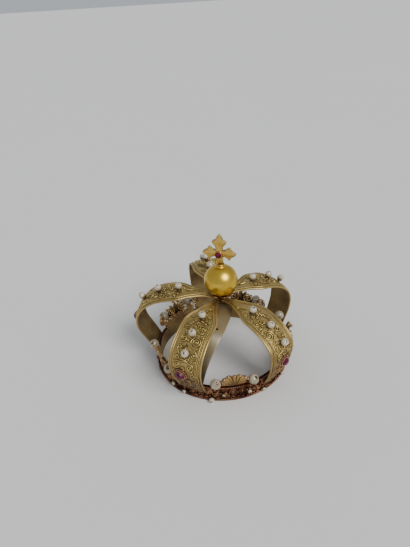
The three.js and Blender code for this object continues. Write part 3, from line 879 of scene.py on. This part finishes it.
def arch_wires(arch, sizes, sheet):
    """Rims, lines and filigree of one arch."""
    hand = arch.hand
    wire, rim, line = (value / MM for value in (sizes.wire, sizes.rim, sizes.line))
    borders = []
    for side in (-1, 1):
        edge = [point for point, _ in arch_edge(arch, side, 0.35 * rim, -0.35 * rim)]
        borders.append((edge, 1.0, False))
        for inset in SCROLL_SIDE_LINES if side == hand else PLAIN_SIDE_LINES:
            edge = arch_edge(arch, side, inset, 0.1, 0.1 if inset < 3 else 0.16)
            borders.append(([point for point, _ in edge], line / rim, False))
    rope = twisted(arch_edge(arch, hand, ROPE_INSET, 0.12, 0.13), 0.2, 1.5)
    fine = [(strand, 0.26 / wire, False) for strand in rope]

    def lay(spot):
        return on_arch(arch, spot[0] / ARCH_LENGTH, hand * spot[1], HALF_SHEET + 0.5 * wire)[0]

    drawn = [(scroll(first, second), 1.0, False) for first, second in ARCH_SCROLLS]
    cores = [end[:2] for ends in ARCH_SCROLLS for end in ends if end[2] > 1.5]
    drawn.append(([spline_point(ARCH_HOOK, k / 24) for k in range(25)], 1.0, False))
    drawn += [(loop(*shape), 0.9, True) for shape in ARCH_LOOPS]
    drawn += [(crimped(path, 2.3, 1.35), 1.0, False) for path in ARCH_RIBBONS]
    drawn += [(spiral(spot, *turns), 1.0, False) for spot, turns in ARCH_SPIRALS]
    drawn += filler_curls(arch, [point for strand in drawn for point in strand[0]])
    ornament = [([lay(spot) for spot in points], share, ring) for points, share, ring in drawn]
    grain = sizes.granule / MM
    spots = [(lay(spot), grain * 0.85) for spot in cores]
    spots += [(lay(spot), grain) for spot in ARCH_GRANULES]
    # Marks the sheet for painted shade next to the wires
    shade_field(sheet, [point for strand in ornament for point in strand[0]])
    return [
        wires("arch_rims", borders, rim, finish("rim_gilt"), 8),
        wires("arch_filigree", fine + ornament, wire, finish("wire_gilt")),
        granules("arch_granules", spots, finish("wire_gilt")),
    ]


class CROWN_OT_arches(bpy.types.Operator):
    """Five leaf-shaped arches with rims, filigree, granules, pearl cups and gem bezels"""

    bl_idname = "crown.arches"
    bl_label = "Arches"

    def execute(self, context):
        sizes = context.scene.crown_sizes
        collet = lathe("collet", COLLET_OUTLINE, 16, finish("sheet_back"))
        bezel = lathe("bezel", BEZEL_OUTLINE, 24, finish("rosy_gilt"))
        for arch in ARCHES:
            sheet = arch_sheet(arch)
            parts = [sheet, *arch_wires(arch, sizes, sheet)]
            beads = []
            for place in PEARL_PLACES.values():
                point, normal = on_arch(arch, place, arch.pearl_shift, HALF_SHEET - SETTING_SINK)
                parts.append(copy_of(collet, "collet_copy", standing(point, normal)))
            point, normal = on_arch(arch, GEM_PLACE, arch.gem_shift, HALF_SHEET - SETTING_SINK)
            placement = standing(point, normal)
            parts.append(copy_of(bezel, "bezel_copy", placement))
            for k in range(BEZEL_BEADS):
                for out, first, height, size in BEZEL_RINGS:
                    spot = polar(GEM_RADIUS + out, 360 / BEZEL_BEADS * k + first, height) * MM
                    beads.append(((placement @ spot - AXIS) / MM, size))
            parts.append(granules("bezel_beads", beads, finish("rosy_gilt")))
            piece = join(f"filigree_arch_{arch.name}", parts)
            hand_over(piece, "pale_gilt", f"arch_{arch.name}")
        for template in (collet, bezel):
            bpy.data.objects.remove(template)
        return {"FINISHED"}


def pearl_mesh(name, radius, point, normal, seed, hole, lustre="pearl_lustre"):
    """A slightly uneven pearl whose drill hole, a radius in mm, looks along the normal, with painted shade
    towards its seat and in the hole.
    """
    piece = ball(name, radius, 28, 26)
    draw = random.Random(seed)
    stretch = Vector((draw.uniform(0.98, 1.05), draw.uniform(1.0, 1.05), draw.uniform(0.95, 1.02)))
    shift = Vector((draw.uniform(0, 50), draw.uniform(0, 50), draw.uniform(0, 50)))
    shade_marks = piece.data.attributes.new("film", "FLOAT", "POINT")
    for corner in piece.data.vertices:
        away = corner.co.normalized()
        swell = 1 + 0.03 * noise.noise(away * 1.3 + shift)
        corner.co = Vector(a * b for a, b in zip(corner.co, stretch)) * swell
        gap = corner.co.xy.length / (hole * MM)
        # Marks for painted shade: more towards the seat side, most inside the drill hole
        shade_marks.data[corner.index].value = min(0.8, max(0.0, 0.08 - 0.85 * away.z))
        if away.z > 0 and gap < 1:
            corner.co.z -= hole * MM * (1.1 if gap < 0.75 else 0.5)
            shade_marks.data[corner.index].value = 0.85 if hole > 1 else 0.62
    piece.data.transform(standing(point, normal))
    bpy.ops.object.shade_smooth()
    piece.data.materials.append(finish(lustre))
    return piece


class CROWN_OT_arch_pearls(bpy.types.Operator):
    """Three pearls on each arch"""

    bl_idname = "crown.arch_pearls"
    bl_label = "Arch Pearls"

    def execute(self, context):
        for a, arch in enumerate(ARCHES):
            for k, (label, place) in enumerate(PEARL_PLACES.items()):
                point, normal = on_arch(arch, place, arch.pearl_shift, PEARL_LIFT)
                name = f"pearl_bead_{arch.name}_{label}"
                hole = WIDE_HOLE if (arch.name, label) == WIDE_HOLE_PEARL else PEARL_HOLE
                piece = pearl_mesh(name, PEARL_RADIUS, point, normal, 10 * a + k, hole)
                hand_over(piece, "pearl", f"pearl_{arch.name}_{label}")
        return {"FINISHED"}


def cut_stone(name, radius, base, top, material, sides=10):
    """A low faceted stone along +Z."""
    rise = top - base
    return lathe(name, [
        (0, base), (0.9 * radius, base), (radius, base + 0.3 * rise), (0.82 * radius, base + 0.7 * rise),
        (0.5 * radius, base + 0.95 * rise), (0, top),
    ], sides, material, 8)


class CROWN_OT_foot_gems(bpy.types.Operator):
    """One purple glass gem near the foot of each arch"""

    bl_idname = "crown.foot_gems"
    bl_label = "Foot Gems"

    def execute(self, context):
        for arch in ARCHES:
            point, normal = on_arch(arch, GEM_PLACE, arch.gem_shift, HALF_SHEET)
            piece = cut_stone(f"foot_gem_{arch.name}", GEM_RADIUS, 1.15, 4.0, finish("purple_stone"))
            piece.data.transform(standing(point, normal))
            hand_over(piece, "purple_glass", f"gem_{arch.name}")
        return {"FINISHED"}


def round_band(radius, lift, azimuth, spot):
    """A spot of a flat drawing, in mm along and up, laid round the band at a lift from a radius."""
    return polar(radius + lift, azimuth + math.degrees(spot[0] / radius), spot[1])


def edge_bead_centre(azimuth, height, radius):
    return polar(BAND_FOOT + 0.55 + radius * 0.8, azimuth, height)


class CROWN_OT_band(bpy.types.Operator):
    """The band with its mouldings, scrolls and granules, and the small pearls on its lower edge"""

    bl_idname = "crown.band"
    bl_label = "Band"

    def execute(self, context):
        wire = context.scene.crown_sizes.wire / MM
        ring = lathe("band_ring", [
            (BAND_INNER, 0.25), (BAND_INNER + 0.25, 0), (BAND_FOOT - 0.3, 0), (BAND_FOOT, 0.3),
            (BAND_FOOT, 1.0), (BAND_FOOT - 0.35, 1.35), (BAND_WALL + 0.2, 1.5), (BAND_WALL, 2.0),
            (BAND_WALL, 10.4), (BAND_WALL + 0.2, 10.9), (BAND_RIM, 11.2), (BAND_RIM + 0.1, 11.8),
            (BAND_RIM - 0.2, BAND_HEIGHT), (BAND_INNER + 0.3, BAND_HEIGHT), (BAND_INNER, 12.1),
            (BAND_INNER, 0.25),
        ], 120, finish("red_field"))
        ring.data.transform(Matrix.Translation(AXIS))
        ring.data.materials.append(finish("sheet_back"))
        for face in ring.data.polygons:
            away = (face.center - AXIS).xy
            face.material_index = int(away.dot(face.normal.xy) < 0)
        strands, spots = [], []
        for k in range(BAND_SCROLLS):
            lay = partial(round_band, BAND_WALL, 1.1 * wire, 360 / BAND_SCROLLS * k)
            flip = 1 if k % 2 else -1
            ends = ((-2.7, BAND_MIDDLE - 1.1 * flip, 2.5, 1.6, flip),
                    (2.7, BAND_MIDDLE + 1.1 * flip, 2.5, 1.6, -flip))
            strands.append(([lay(spot) for spot in scroll(*ends)], 1.5, False))
            spots += [(lay(end[:2]), 0.7) for end in ends]
            for along, up in ((-4.2, 2.4), (-1.9, 3.0), (4.2, -2.4), (1.9, -3.0), (6.05, 0.0)):
                curl = spiral((along, BAND_MIDDLE + up * flip), 1.0, 1.0, 0.7 * k, flip, 0.35)
                strands.append(([lay(spot) for spot in curl], 0.95, False))
        draw = random.Random(7)
        for _ in range(BAND_GRANULES):
            at, height = draw.uniform(0, 360), draw.uniform(1.9, 10.9)
            spots.append((polar(BAND_WALL + 0.4, at, height), draw.uniform(0.3, 0.62)))
        for k in range(FOOT_LOOPS):
            size, at = draw.uniform(0.85, 1.45), 360 / FOOT_LOOPS * k + draw.uniform(-0.7, 0.7)
            height = size + draw.uniform(0.5, 1.2)
            if draw.random() < 0.8:
                circle = loop(0.0, height, size, size, 0, 10)
                strands.append(([round_band(BAND_FOOT, 0.3, at, spot) for spot in circle], 1.0, True))
        for height in (2.3, 10.2):
            strands.append(([polar(BAND_WALL + 0.3, 3 * k, height) for k in range(120)], 0.8, True))
        for radius, height in ((BAND_FOOT + 0.05, 1.0), (BAND_RIM + 0.1, 11.6)):
            path = [(polar(radius, 3 * k, height), polar(1, 3 * k, 0)) for k in range(121)]
            strands += [(strand, 1.25, False) for strand in twisted(path, 0.42, 2.8)]
        for azimuth, height, radius in EDGE_BEADS:
            end = edge_bead_centre(azimuth, height, radius) + polar(radius, azimuth, 0.1)
            pin = [polar(BAND_WALL - 0.4, azimuth, height - 0.2), end]
            strands.append((pin, 1.2, False))
        parts = [ring, wires("band_wires", strands, wire, finish("copper_gilt")),
                 granules("band_granules", spots, finish("leaf_gilt"))]
        piece = join("filigree_band", parts)
        hand_over(piece, "red_gilt", "band")
        for k, (azimuth, height, radius) in enumerate(EDGE_BEADS):
            centre = edge_bead_centre(azimuth, height, radius)
            bead = pearl_mesh(
                f"edge_bead_{k + 1:02d}", radius, centre, polar(1, azimuth, 0), 300 + k, EDGE_BEAD_HOLE)
            hand_over(bead, "pearl")
        return {"FINISHED"}


class CROWN_OT_strap(bpy.types.Operator):
    """The plain strap inside the front left arch, with its small hole"""

    bl_idname = "crown.strap"
    bl_label = "Strap"

    def execute(self, context):
        piece = grid(80, 8)
        piece.name = piece.data.name = "plain_strap"
        places, lengths = length_table([polar(*stop) for stop in STRAP_ROUTE])

        def lie(place, across):
            here = even_point(places, lengths, place)
            along = even_point(places, lengths, place + 0.01) - even_point(places, lengths, place - 0.01)
            side = (here - STRAP_HUB).cross(along).normalized()
            normal = along.normalized().cross(side)
            return here + side * across, normal

        for corner in piece.data.vertices:
            point, normal = lie((corner.co.x + 1) / 2, corner.co.y * STRAP_WIDTH / 2)
            corner.co = row(point + normal * STRAP_HALF_SHEET)
        thicken(piece, 2 * STRAP_HALF_SHEET, "strap_metal")
        edge = piece.modifiers.new("edge", "BEVEL")
        edge.width = 0.2 * MM
        edge.segments = 2
        apply_modifiers(piece)
        face_out(piece)
        piece.data.materials.append(finish("red_field"))
        place, across, radius = STRAP_HOLE
        point, normal = lie(place, across)
        bpy.ops.mesh.primitive_cylinder_add(vertices=20, radius=radius * MM, depth=STRAP_DRILL * MM)
        drill = bpy.context.object
        # The faces that the drill cuts take the dark reddish field colour, as painted shade in the hole
        for name in ("strap_metal", "red_field"):
            drill.data.materials.append(finish(name))
        for face in drill.data.polygons:
            face.material_index = 1
        drill.data.transform(standing(point + normal * STRAP_DRILL_OUT, normal))
        cut = piece.modifiers.new("hole", "BOOLEAN")
        cut.operation = "DIFFERENCE"
        cut.solver = "EXACT"
        cut.object = drill
        apply_modifiers(piece)
        bpy.data.objects.remove(drill)
        smooth(piece, 40)
        hand_over(piece, "plain_metal", "inner_strap")
        return {"FINISHED"}


def wrap(azimuth, x, y, z):
    """A point of a flat crest drawing on the flaring ring: x along the band, y up, z outwards."""
    radius = CREST_RADIUS + CREST_FLARE * y + z
    return polar(radius, azimuth + math.degrees(x / CREST_RADIUS), CREST_FOOT + y)


def crest_leaf(azimuth):
    """Lobed leaf: ridged fingers that fan out from a cupped foot darkened with painted shade, and the knobs
    of their curled tips.
    """
    fingers, knobs = [], []
    draw = random.Random(round(azimuth))
    for k in range(-LEAF_SIDE_FINGERS, LEAF_SIDE_FINGERS + 1):
        lean = math.radians(LEAF_ANGLE * k + draw.uniform(-4, 4))
        reach = LEAF_REACH - 0.25 * k * k + draw.uniform(-1.4, 0.6)
        sit = -0.8 if k % 2 else 0.0

        def lie(share, across):
            if share < LEAF_TIP:
                half = 0.7 + 1.5 * share
            else:
                half = 1.75 * math.sqrt(max(0.0, 1 - ((share - LEAF_TIP) / 0.31) ** 2))
            side = across * half
            x = 0.35 * k + reach * share * math.sin(lean) + side * math.cos(lean)
            y = LEAF_ROOT + reach * share * math.cos(lean) - side * math.sin(lean)
            ridge = 1.1 * (1 - across ** 2) * min(1.0, 3 * share)
            curl = 2.0 * share ** 4 + 1.6 * (1 - share) ** 2
            return wrap(azimuth, x, y, 0.2 - 0.2 * y + ridge + curl + sit * share)

        finger = grid(8, 16)
        shade_marks = finger.data.attributes.new("film", "FLOAT", "POINT")
        for corner in finger.data.vertices:
            share, across = (corner.co.y + 1) / 2, corner.co.x
            # Painted shade: full at the root of each finger and towards its sides, none at its tip
            shade_marks.data[corner.index].value = min(1.0, max(0.0, 1.15 - 1.4 * share + 0.4 * across ** 2))
            corner.co = row(lie(share, across))
        thicken(finger, 0.6, "leaf_gilt", "sheet_back")
        face_out(finger)
        smooth(finger, 50)
        fingers.append(finger)
        knobs.append((lie(0.92, 0.0), 1.05 if k % 2 else 1.25))
    return fingers, knobs


def crest_wall(azimuth, half_angle):
    """Low scalloped wall under a crest's openwork, reddish outside and plain inside."""
    piece = grid(72, 4)
    for corner in piece.data.vertices:
        x = corner.co.x * math.radians(half_angle) * CREST_RADIUS
        top = 4.2 + 0.7 * math.cos(2 * math.pi * x / 6.2)
        corner.co = row(wrap(azimuth, x, top * (corner.co.y + 1) / 2 - 0.2, -0.9))
    thicken(piece, 0.7, "red_field", "sheet_back")
    face_out(piece)
    smooth(piece, 40)
    return piece


def crest_pearls(name, azimuth, spread_angle):
    """Centre, foot and pin direction of a crest's two pearls."""
    spots = []
    for side in (-1, 1):
        at = azimuth + side * spread_angle
        inwards, rise = BENT_PEARLS.get(name, (0.0, 0.0)) if side > 0 else (0.0, 0.0)
        height = CREST_PEARL_HEIGHT + CREST_PEARL_RISE * math.sin(math.radians(at)) + rise
        centre = polar(CREST_PEARL_RING - inwards, at, height)
        up = polar(0.47, at, 0.77) + polar(0.43, at + 90, 0)
        up.normalize()
        spots.append((centre, centre - up * CREST_STEM, up))
    return spots


def crest_volutes(side, wide):
    """The scrolls on one side of a crest, each as its two spiral ends."""
    scrolls = [
        ((6.2 * side, 9.6 if wide else 6.4, 4.1 if wide else 3.0, 1.6, side),
         (12.8 * side, 3.6, 2.0, 1.3, -side)),
        ((2.0 * side, 3.2, 1.5, 1.1, -side), (7.0 * side, 2.8, 1.7, 1.2, side)),
    ]
    if wide:
        scrolls.append(((19.4 * side, 9.2, 3.7, 1.6, -side), (16.4 * side, 3.4, 1.5, 1.1, side)))
    return scrolls


class CROWN_OT_crests(bpy.types.Operator):
    """Five openwork crests of volutes, scrolls and a lobed leaf on the band's rim"""

    bl_idname = "crown.crests"
    bl_label = "Crests"

    def execute(self, context):
        cup = lathe("pearl_cup", [
            (0, 0), (0.9, 0), (0.95, 0.4), (1.4, 0.75), (2.2, 1.15), (2.7, 1.8), (2.55, 1.95),
            (1.8, 1.4), (0, 0.9),
        ], 16, finish("leaf_gilt"))
        for name, azimuth, spread_angle in CRESTS:

            def lay(spot):
                return wrap(azimuth, spot[0], spot[1], -0.6 - 0.16 * spot[1])

            half_angle = spread_angle + CREST_RAIL_MARGIN
            step = half_angle / CREST_RAIL_STEPS
            rail, spots, cups = [], [], []
            for k in range(-CREST_RAIL_STEPS, CREST_RAIL_STEPS + 1):
                at = azimuth + k * step
                rail.append((polar(CREST_RADIUS - 0.7, at, BAND_HEIGHT + 1.0), polar(1, at, 0)))
            strands = [(strand, 0.75, False) for strand in twisted(rail, 0.36, 2.4)]
            for side in (-1, 1):
                for ends in crest_volutes(side, name in WIDE_CRESTS):
                    strands.append(([lay(spot) for spot in scroll(*ends)], 1.15, False))
                    spots += [(lay(end[:2]), 0.85) for end in ends]
            for centre, foot, up in crest_pearls(name, azimuth, spread_angle):
                at = math.degrees(math.atan2(foot.y, foot.x))
                stay = polar(CREST_RADIUS - CREST_WIRE, at, BAND_HEIGHT + 0.9)
                strands.append(([stay, foot, centre - up * 2.0], 0.9, False))
                strands.append(([centre + up * 2.2, centre + up * (CREST_PEARL_RADIUS - 0.25)], 0.8, False))
                cups.append(copy_of(cup, "cup_copy", standing(centre - up * (CREST_PEARL_RADIUS + 0.9), up)))
            fingers, knobs = crest_leaf(azimuth)
            parts = [
                *fingers, crest_wall(azimuth, half_angle),
                wires("crest_wires", strands, CREST_WIRE, finish("crest_gilt")),
                granules("crest_granules", spots, finish("leaf_gilt")),
                # The tip knobs take the pale rosy gilding as a painted highlight
                granules("leaf_tips", knobs, finish("rosy_gilt")),
                *cups,
            ]
            piece = join(f"openwork_crest_{name}", parts)
            hand_over(piece, "red_gilt", f"crest_{name}")
        bpy.data.objects.remove(cup)
        return {"FINISHED"}


class CROWN_OT_crest_pearls(bpy.types.Operator):
    """Two large drilled pearls on each crest"""

    bl_idname = "crown.crest_pearls"
    bl_label = "Crest Pearls"

    def execute(self, context):
        for k, (name, azimuth, spread_angle) in enumerate(CRESTS):
            spots = crest_pearls(name, azimuth, spread_angle)
            for label, (centre, _, up) in zip(("first", "second"), spots):
                piece = pearl_mesh(
                    f"crest_bead_{name}_{label}", CREST_PEARL_RADIUS, centre, up, 100 + 2 * k + len(label),
                    CREST_PEARL_HOLE, "aged_pearl")
                hand_over(piece, "pearl", f"pearl_crest_{name}_{label}")
        return {"FINISHED"}


class CROWN_OT_orb(bpy.types.Operator):
    """The polished orb and the calyx that carries it"""

    bl_idname = "crown.orb"
    bl_label = "Orb"

    def execute(self, context):
        orb = ball("polished_orb", ORB_RADIUS, 96, 56)
        for corner in orb.data.vertices:
            away = corner.co.normalized()
            corner.co *= 1 + 0.004 * noise.noise(away * 1.6)
        orb.data.transform(Matrix.Translation(row(STACK + Vector((0, 0, ORB_CENTRE)))))
        bpy.ops.object.shade_smooth()
        orb.data.materials.append(finish("orb_gilt"))
        hand_over(orb, "bright_gilt", "orb")

        stem = lathe("calyx_stem", [
            (0, 51.9), (1.3, 51.9), (1.5, 52.3), (1.5, 52.8), (4.6, 53.0), (4.6, 53.5), (1.5, 53.7),
            (1.5, 56.6), (2.6, 56.9), (2.6, 57.3), (2.3, 57.5), (4.2, 57.8), (5.1, 58.4), (5.3, 59.0),
            (5.0, 59.1), (3.4, 58.5), (0, 58.1),
        ], 32, finish("calyx_gilt"))
        stem.data.transform(Matrix.Translation(row(STACK)))
        parts = [stem]
        for k in range(CALYX_PETALS):
            petal = grid(8, 10)
            for corner in petal.data.vertices:
                rise = (corner.co.y + 1) / 2
                half = 20.5 * (1 - 0.92 * max(0.0, (rise - 0.45) / 0.55) ** 2.2)
                down = math.radians(161 - 31 * rise)
                shell = ORB_RADIUS + 0.25 + 0.7 * rise ** 4 + 0.45 * (1 - corner.co.x ** 2) * (1 - rise)
                at = 360 / CALYX_PETALS * k + half * corner.co.x
                point = polar(shell * math.sin(down), at, ORB_CENTRE + shell * math.cos(down))
                corner.co = row(STACK + point)
            thicken(petal, 0.45, "calyx_gilt", offset=1)
            face_out(petal)
            smooth(petal, 50)
            parts.append(petal)
        collar = join("calyx_collar", parts)
        hand_over(collar, "bright_gilt", "orb_collar")
        return {"FINISHED"}


def cross_outline(foot):
    """Corners of the cross: each arm flares to two side lobes and a longer tip, over a stem."""
    arm = [
        (0.19, 2.25), (0.3, 2.3), (0.38, 2.65), (0.46, 3.5), (0.53, 4.4), (0.57, 4.85), (0.605, 5.0),
        (0.64, 4.75), (0.67, 4.0), (0.695, 3.1), (0.73, 2.45), (0.78, 2.15), (0.84, 1.8), (0.9, 1.25),
        (0.95, 0.7), (0.99, 0.25),
    ]
    corners = []
    for quarter, reach in enumerate((CROSS_SIDE_REACH, CROSS_TOP_REACH, CROSS_SIDE_REACH)):
        turn = Matrix.Rotation(quarter * math.pi / 2, 2)
        slim = 1.0 if quarter == 1 else 0.92
        side = [Vector((reach * share, half * slim if share > 0.4 else half)) for share, half in arm]
        corners += [turn @ Vector((spot.x, -spot.y)) for spot in side]
        corners += [turn @ spot for spot in reversed(side)]
    shift = -foot * math.sin(math.radians(CROSS_LEAN))
    stem = ((-2.35, -2.4), (shift - 2.3, foot), (shift + 2.3, foot), (2.35, -2.4))
    return corners + [Vector(spot) for spot in stem]


class CROWN_OT_cross(bpy.types.Operator):
    """The cross with its raised edge and bezel, its gem, and the socket ring on the orb"""

    bl_idname = "crown.cross"
    bl_label = "Cross"

    def execute(self, context):
        gold = finish("cross_gilt")
        outline = cross_outline(CROSS_FOOT - CROSS_CENTRE)
        curve = bpy.data.curves.new("cross_plate", "CURVE")
        curve.dimensions = "2D"
        curve.fill_mode = "BOTH"
        curve.extrude = (CROSS_THICKNESS / 2 - CROSS_BEVEL) * MM
        curve.bevel_depth = CROSS_BEVEL * MM
        curve.bevel_resolution = 1
        curve.offset = -CROSS_BEVEL * MM
        border = curve.splines.new("POLY")
        border.points.add(len(outline) - 1)
        border.use_cyclic_u = True
        for knot, spot in zip(border.points, outline):
            knot.co = (spot.x * MM, spot.y * MM, 0, 1)
        new_object("cross_plate", curve)
        bpy.ops.object.convert(target="MESH")
        plate = bpy.context.object
        plate.data.materials.clear()
        upright = Matrix.Rotation(math.pi / 2, 4, "X")
        plate.data.transform(upright)
        face_out(plate)
        smooth(plate, 35)
        plate.data.materials.append(gold)
        edges = []
        for side in (-1, 1):
            depth = side * (CROSS_THICKNESS / 2 - 0.05)
            edges.append(([Vector((spot.x, depth, spot.y)) - AXIS / MM for spot in outline], 1.0, True))
        trim = wires("cross_trim", edges, 0.36, finish("sheet_gilt"))
        bezel = lathe("cross_bezel", [
            (0, 0.3), (2.9, 0.3), (2.95, 0.9), (2.75, 1.5), (2.45, 1.6), (2.35, 1.2), (0, 1.1),
        ], 28, gold)
        seat = Matrix.Translation((CROSS_GEM_SHIFT * MM, 0, -CROSS_GEM_DROP * MM))
        bezel.data.transform(seat @ upright)
        back = lathe("cross_back_boss", [
            (0, 0.2), (2.3, 0.2), (2.2, 0.9), (1.2, 1.2), (0, 1.25),
        ], 24, gold)
        back.data.transform(Matrix.Rotation(-math.pi / 2, 4, "X"))
        cross = join("gilt_cross", [plate, trim, bezel, back])
        gem = cut_stone("cross_stone", 2.35, 1.0, 2.6, finish("red_stone"), 12)
        gem.data.transform(seat @ upright)
        stand = (
            Matrix.Translation(row(STACK + CROSS_SHIFT + Vector((0, 0, CROSS_CENTRE))))
            @ Matrix.Rotation(math.radians(CROSS_TURN), 4, "Z")
            @ Matrix.Rotation(math.radians(CROSS_LEAN), 4, "Y")
        )
        for piece in (cross, gem):
            piece.data.transform(stand)
        socket = lathe("socket_ring", [
            (0, 82.3), (3.4, 82.1), (3.5, 82.5), (3.0, 82.9), (2.8, 83.3), (3.05, 83.8), (3.1, 84.3),
            (2.8, 84.6), (2.5, 84.4), (2.45, 83.5), (0, 83.4),
        ], 40, gold)
        socket.data.transform(Matrix.Translation(row(STACK)))
        hand_over(cross, "bright_gilt", "cross")
        hand_over(gem, "red_glass", "cross_gem")
        hand_over(socket, "bright_gilt", "cross_socket")
        return {"FINISHED"}


class CROWN_OT_stage(bpy.types.Operator):
    """Pale floor, soft studio light and the camera"""

    bl_idname = "crown.stage"
    bl_label = "Stage"

    def execute(self, context):
        deselect()
        bpy.ops.mesh.primitive_plane_add(size=FLOOR_SIZE)
        floor = bpy.context.object
        floor.name = "pale_floor"
        floor.data.materials.append(floor_finish(scene_colour("floor")))

        world = bpy.data.worlds.new("studio")
        world.use_nodes = True
        sky = world.node_tree.nodes["Background"]
        sky.inputs["Color"].default_value = SKY_COLOUR
        sky.inputs["Strength"].default_value = SKY_STRENGTH
        context.scene.world = world

        for name, way, spread_angle, power in LAMPS:
            lamp = bpy.data.lights.new(name, "SUN")
            lamp.angle = math.radians(spread_angle)
            lamp.energy = power
            light = bpy.data.objects.new(name, lamp)
            light.rotation_euler = (-Vector(way)).to_track_quat("-Z", "Y").to_euler()
            context.scene.collection.objects.link(light)

        camera = bpy.data.cameras.new("camera")
        camera.sensor_width = CAMERA_SENSOR
        camera.lens = CAMERA_LENS
        camera.clip_start = CAMERA_NEAR
        yaw, pitch, roll = (math.radians(angle) for angle in CAMERA_ANGLES)
        turn = Matrix.Rotation(yaw, 3, "Z")
        ahead = turn @ Vector((0, math.cos(pitch), -math.sin(pitch)))
        right = turn @ Vector((1, 0, 0))
        up = right.cross(ahead)
        across = math.cos(roll) * right + math.sin(roll) * up
        above = -math.sin(roll) * right + math.cos(roll) * up
        seat = Matrix((across, above, -ahead)).transposed().to_4x4()
        seat.translation = row(CAMERA_PLACE)
        viewer = bpy.data.objects.new("camera", camera)
        viewer.matrix_world = seat
        context.scene.collection.objects.link(viewer)
        context.scene.camera = viewer
        return {"FINISHED"}


STEPS = [
    CROWN_OT_stage, CROWN_OT_band, CROWN_OT_arches, CROWN_OT_arch_pearls, CROWN_OT_foot_gems,
    CROWN_OT_strap, CROWN_OT_crests, CROWN_OT_crest_pearls, CROWN_OT_orb, CROWN_OT_cross,
]


class CROWN_PT_panel(bpy.types.Panel):
    """Lists the crown's pieces with their sizes and colours"""

    bl_idname = "CROWN_PT_panel"
    bl_label = "Statue Crown"
    bl_space_type = "VIEW_3D"
    bl_region_type = "UI"
    bl_category = "Crown"

    def draw(self, context):
        for group in (context.scene.crown_sizes, context.scene.crown_colours):
            column = self.layout.column(align=True)
            for key in group.__annotations__:
                column.prop(group, key)
        for step in STEPS:
            self.layout.operator(step.bl_idname)


CLASSES = [CrownColours, CrownSizes, *STEPS, CROWN_PT_panel]


def register():
    for kind in CLASSES:
        bpy.utils.register_class(kind)
    bpy.types.Scene.crown_colours = bpy.props.PointerProperty(type=CrownColours)
    bpy.types.Scene.crown_sizes = bpy.props.PointerProperty(type=CrownSizes)


def unregister():
    del bpy.types.Scene.crown_sizes
    del bpy.types.Scene.crown_colours
    for kind in reversed(CLASSES):
        bpy.utils.unregister_class(kind)


def main():
    register()
    for step in STEPS:
        group, name = step.bl_idname.split(".")
        getattr(getattr(bpy.ops, group), name)()
    bpy.context.view_layer.update()


if __name__ == "__main__":
    main()
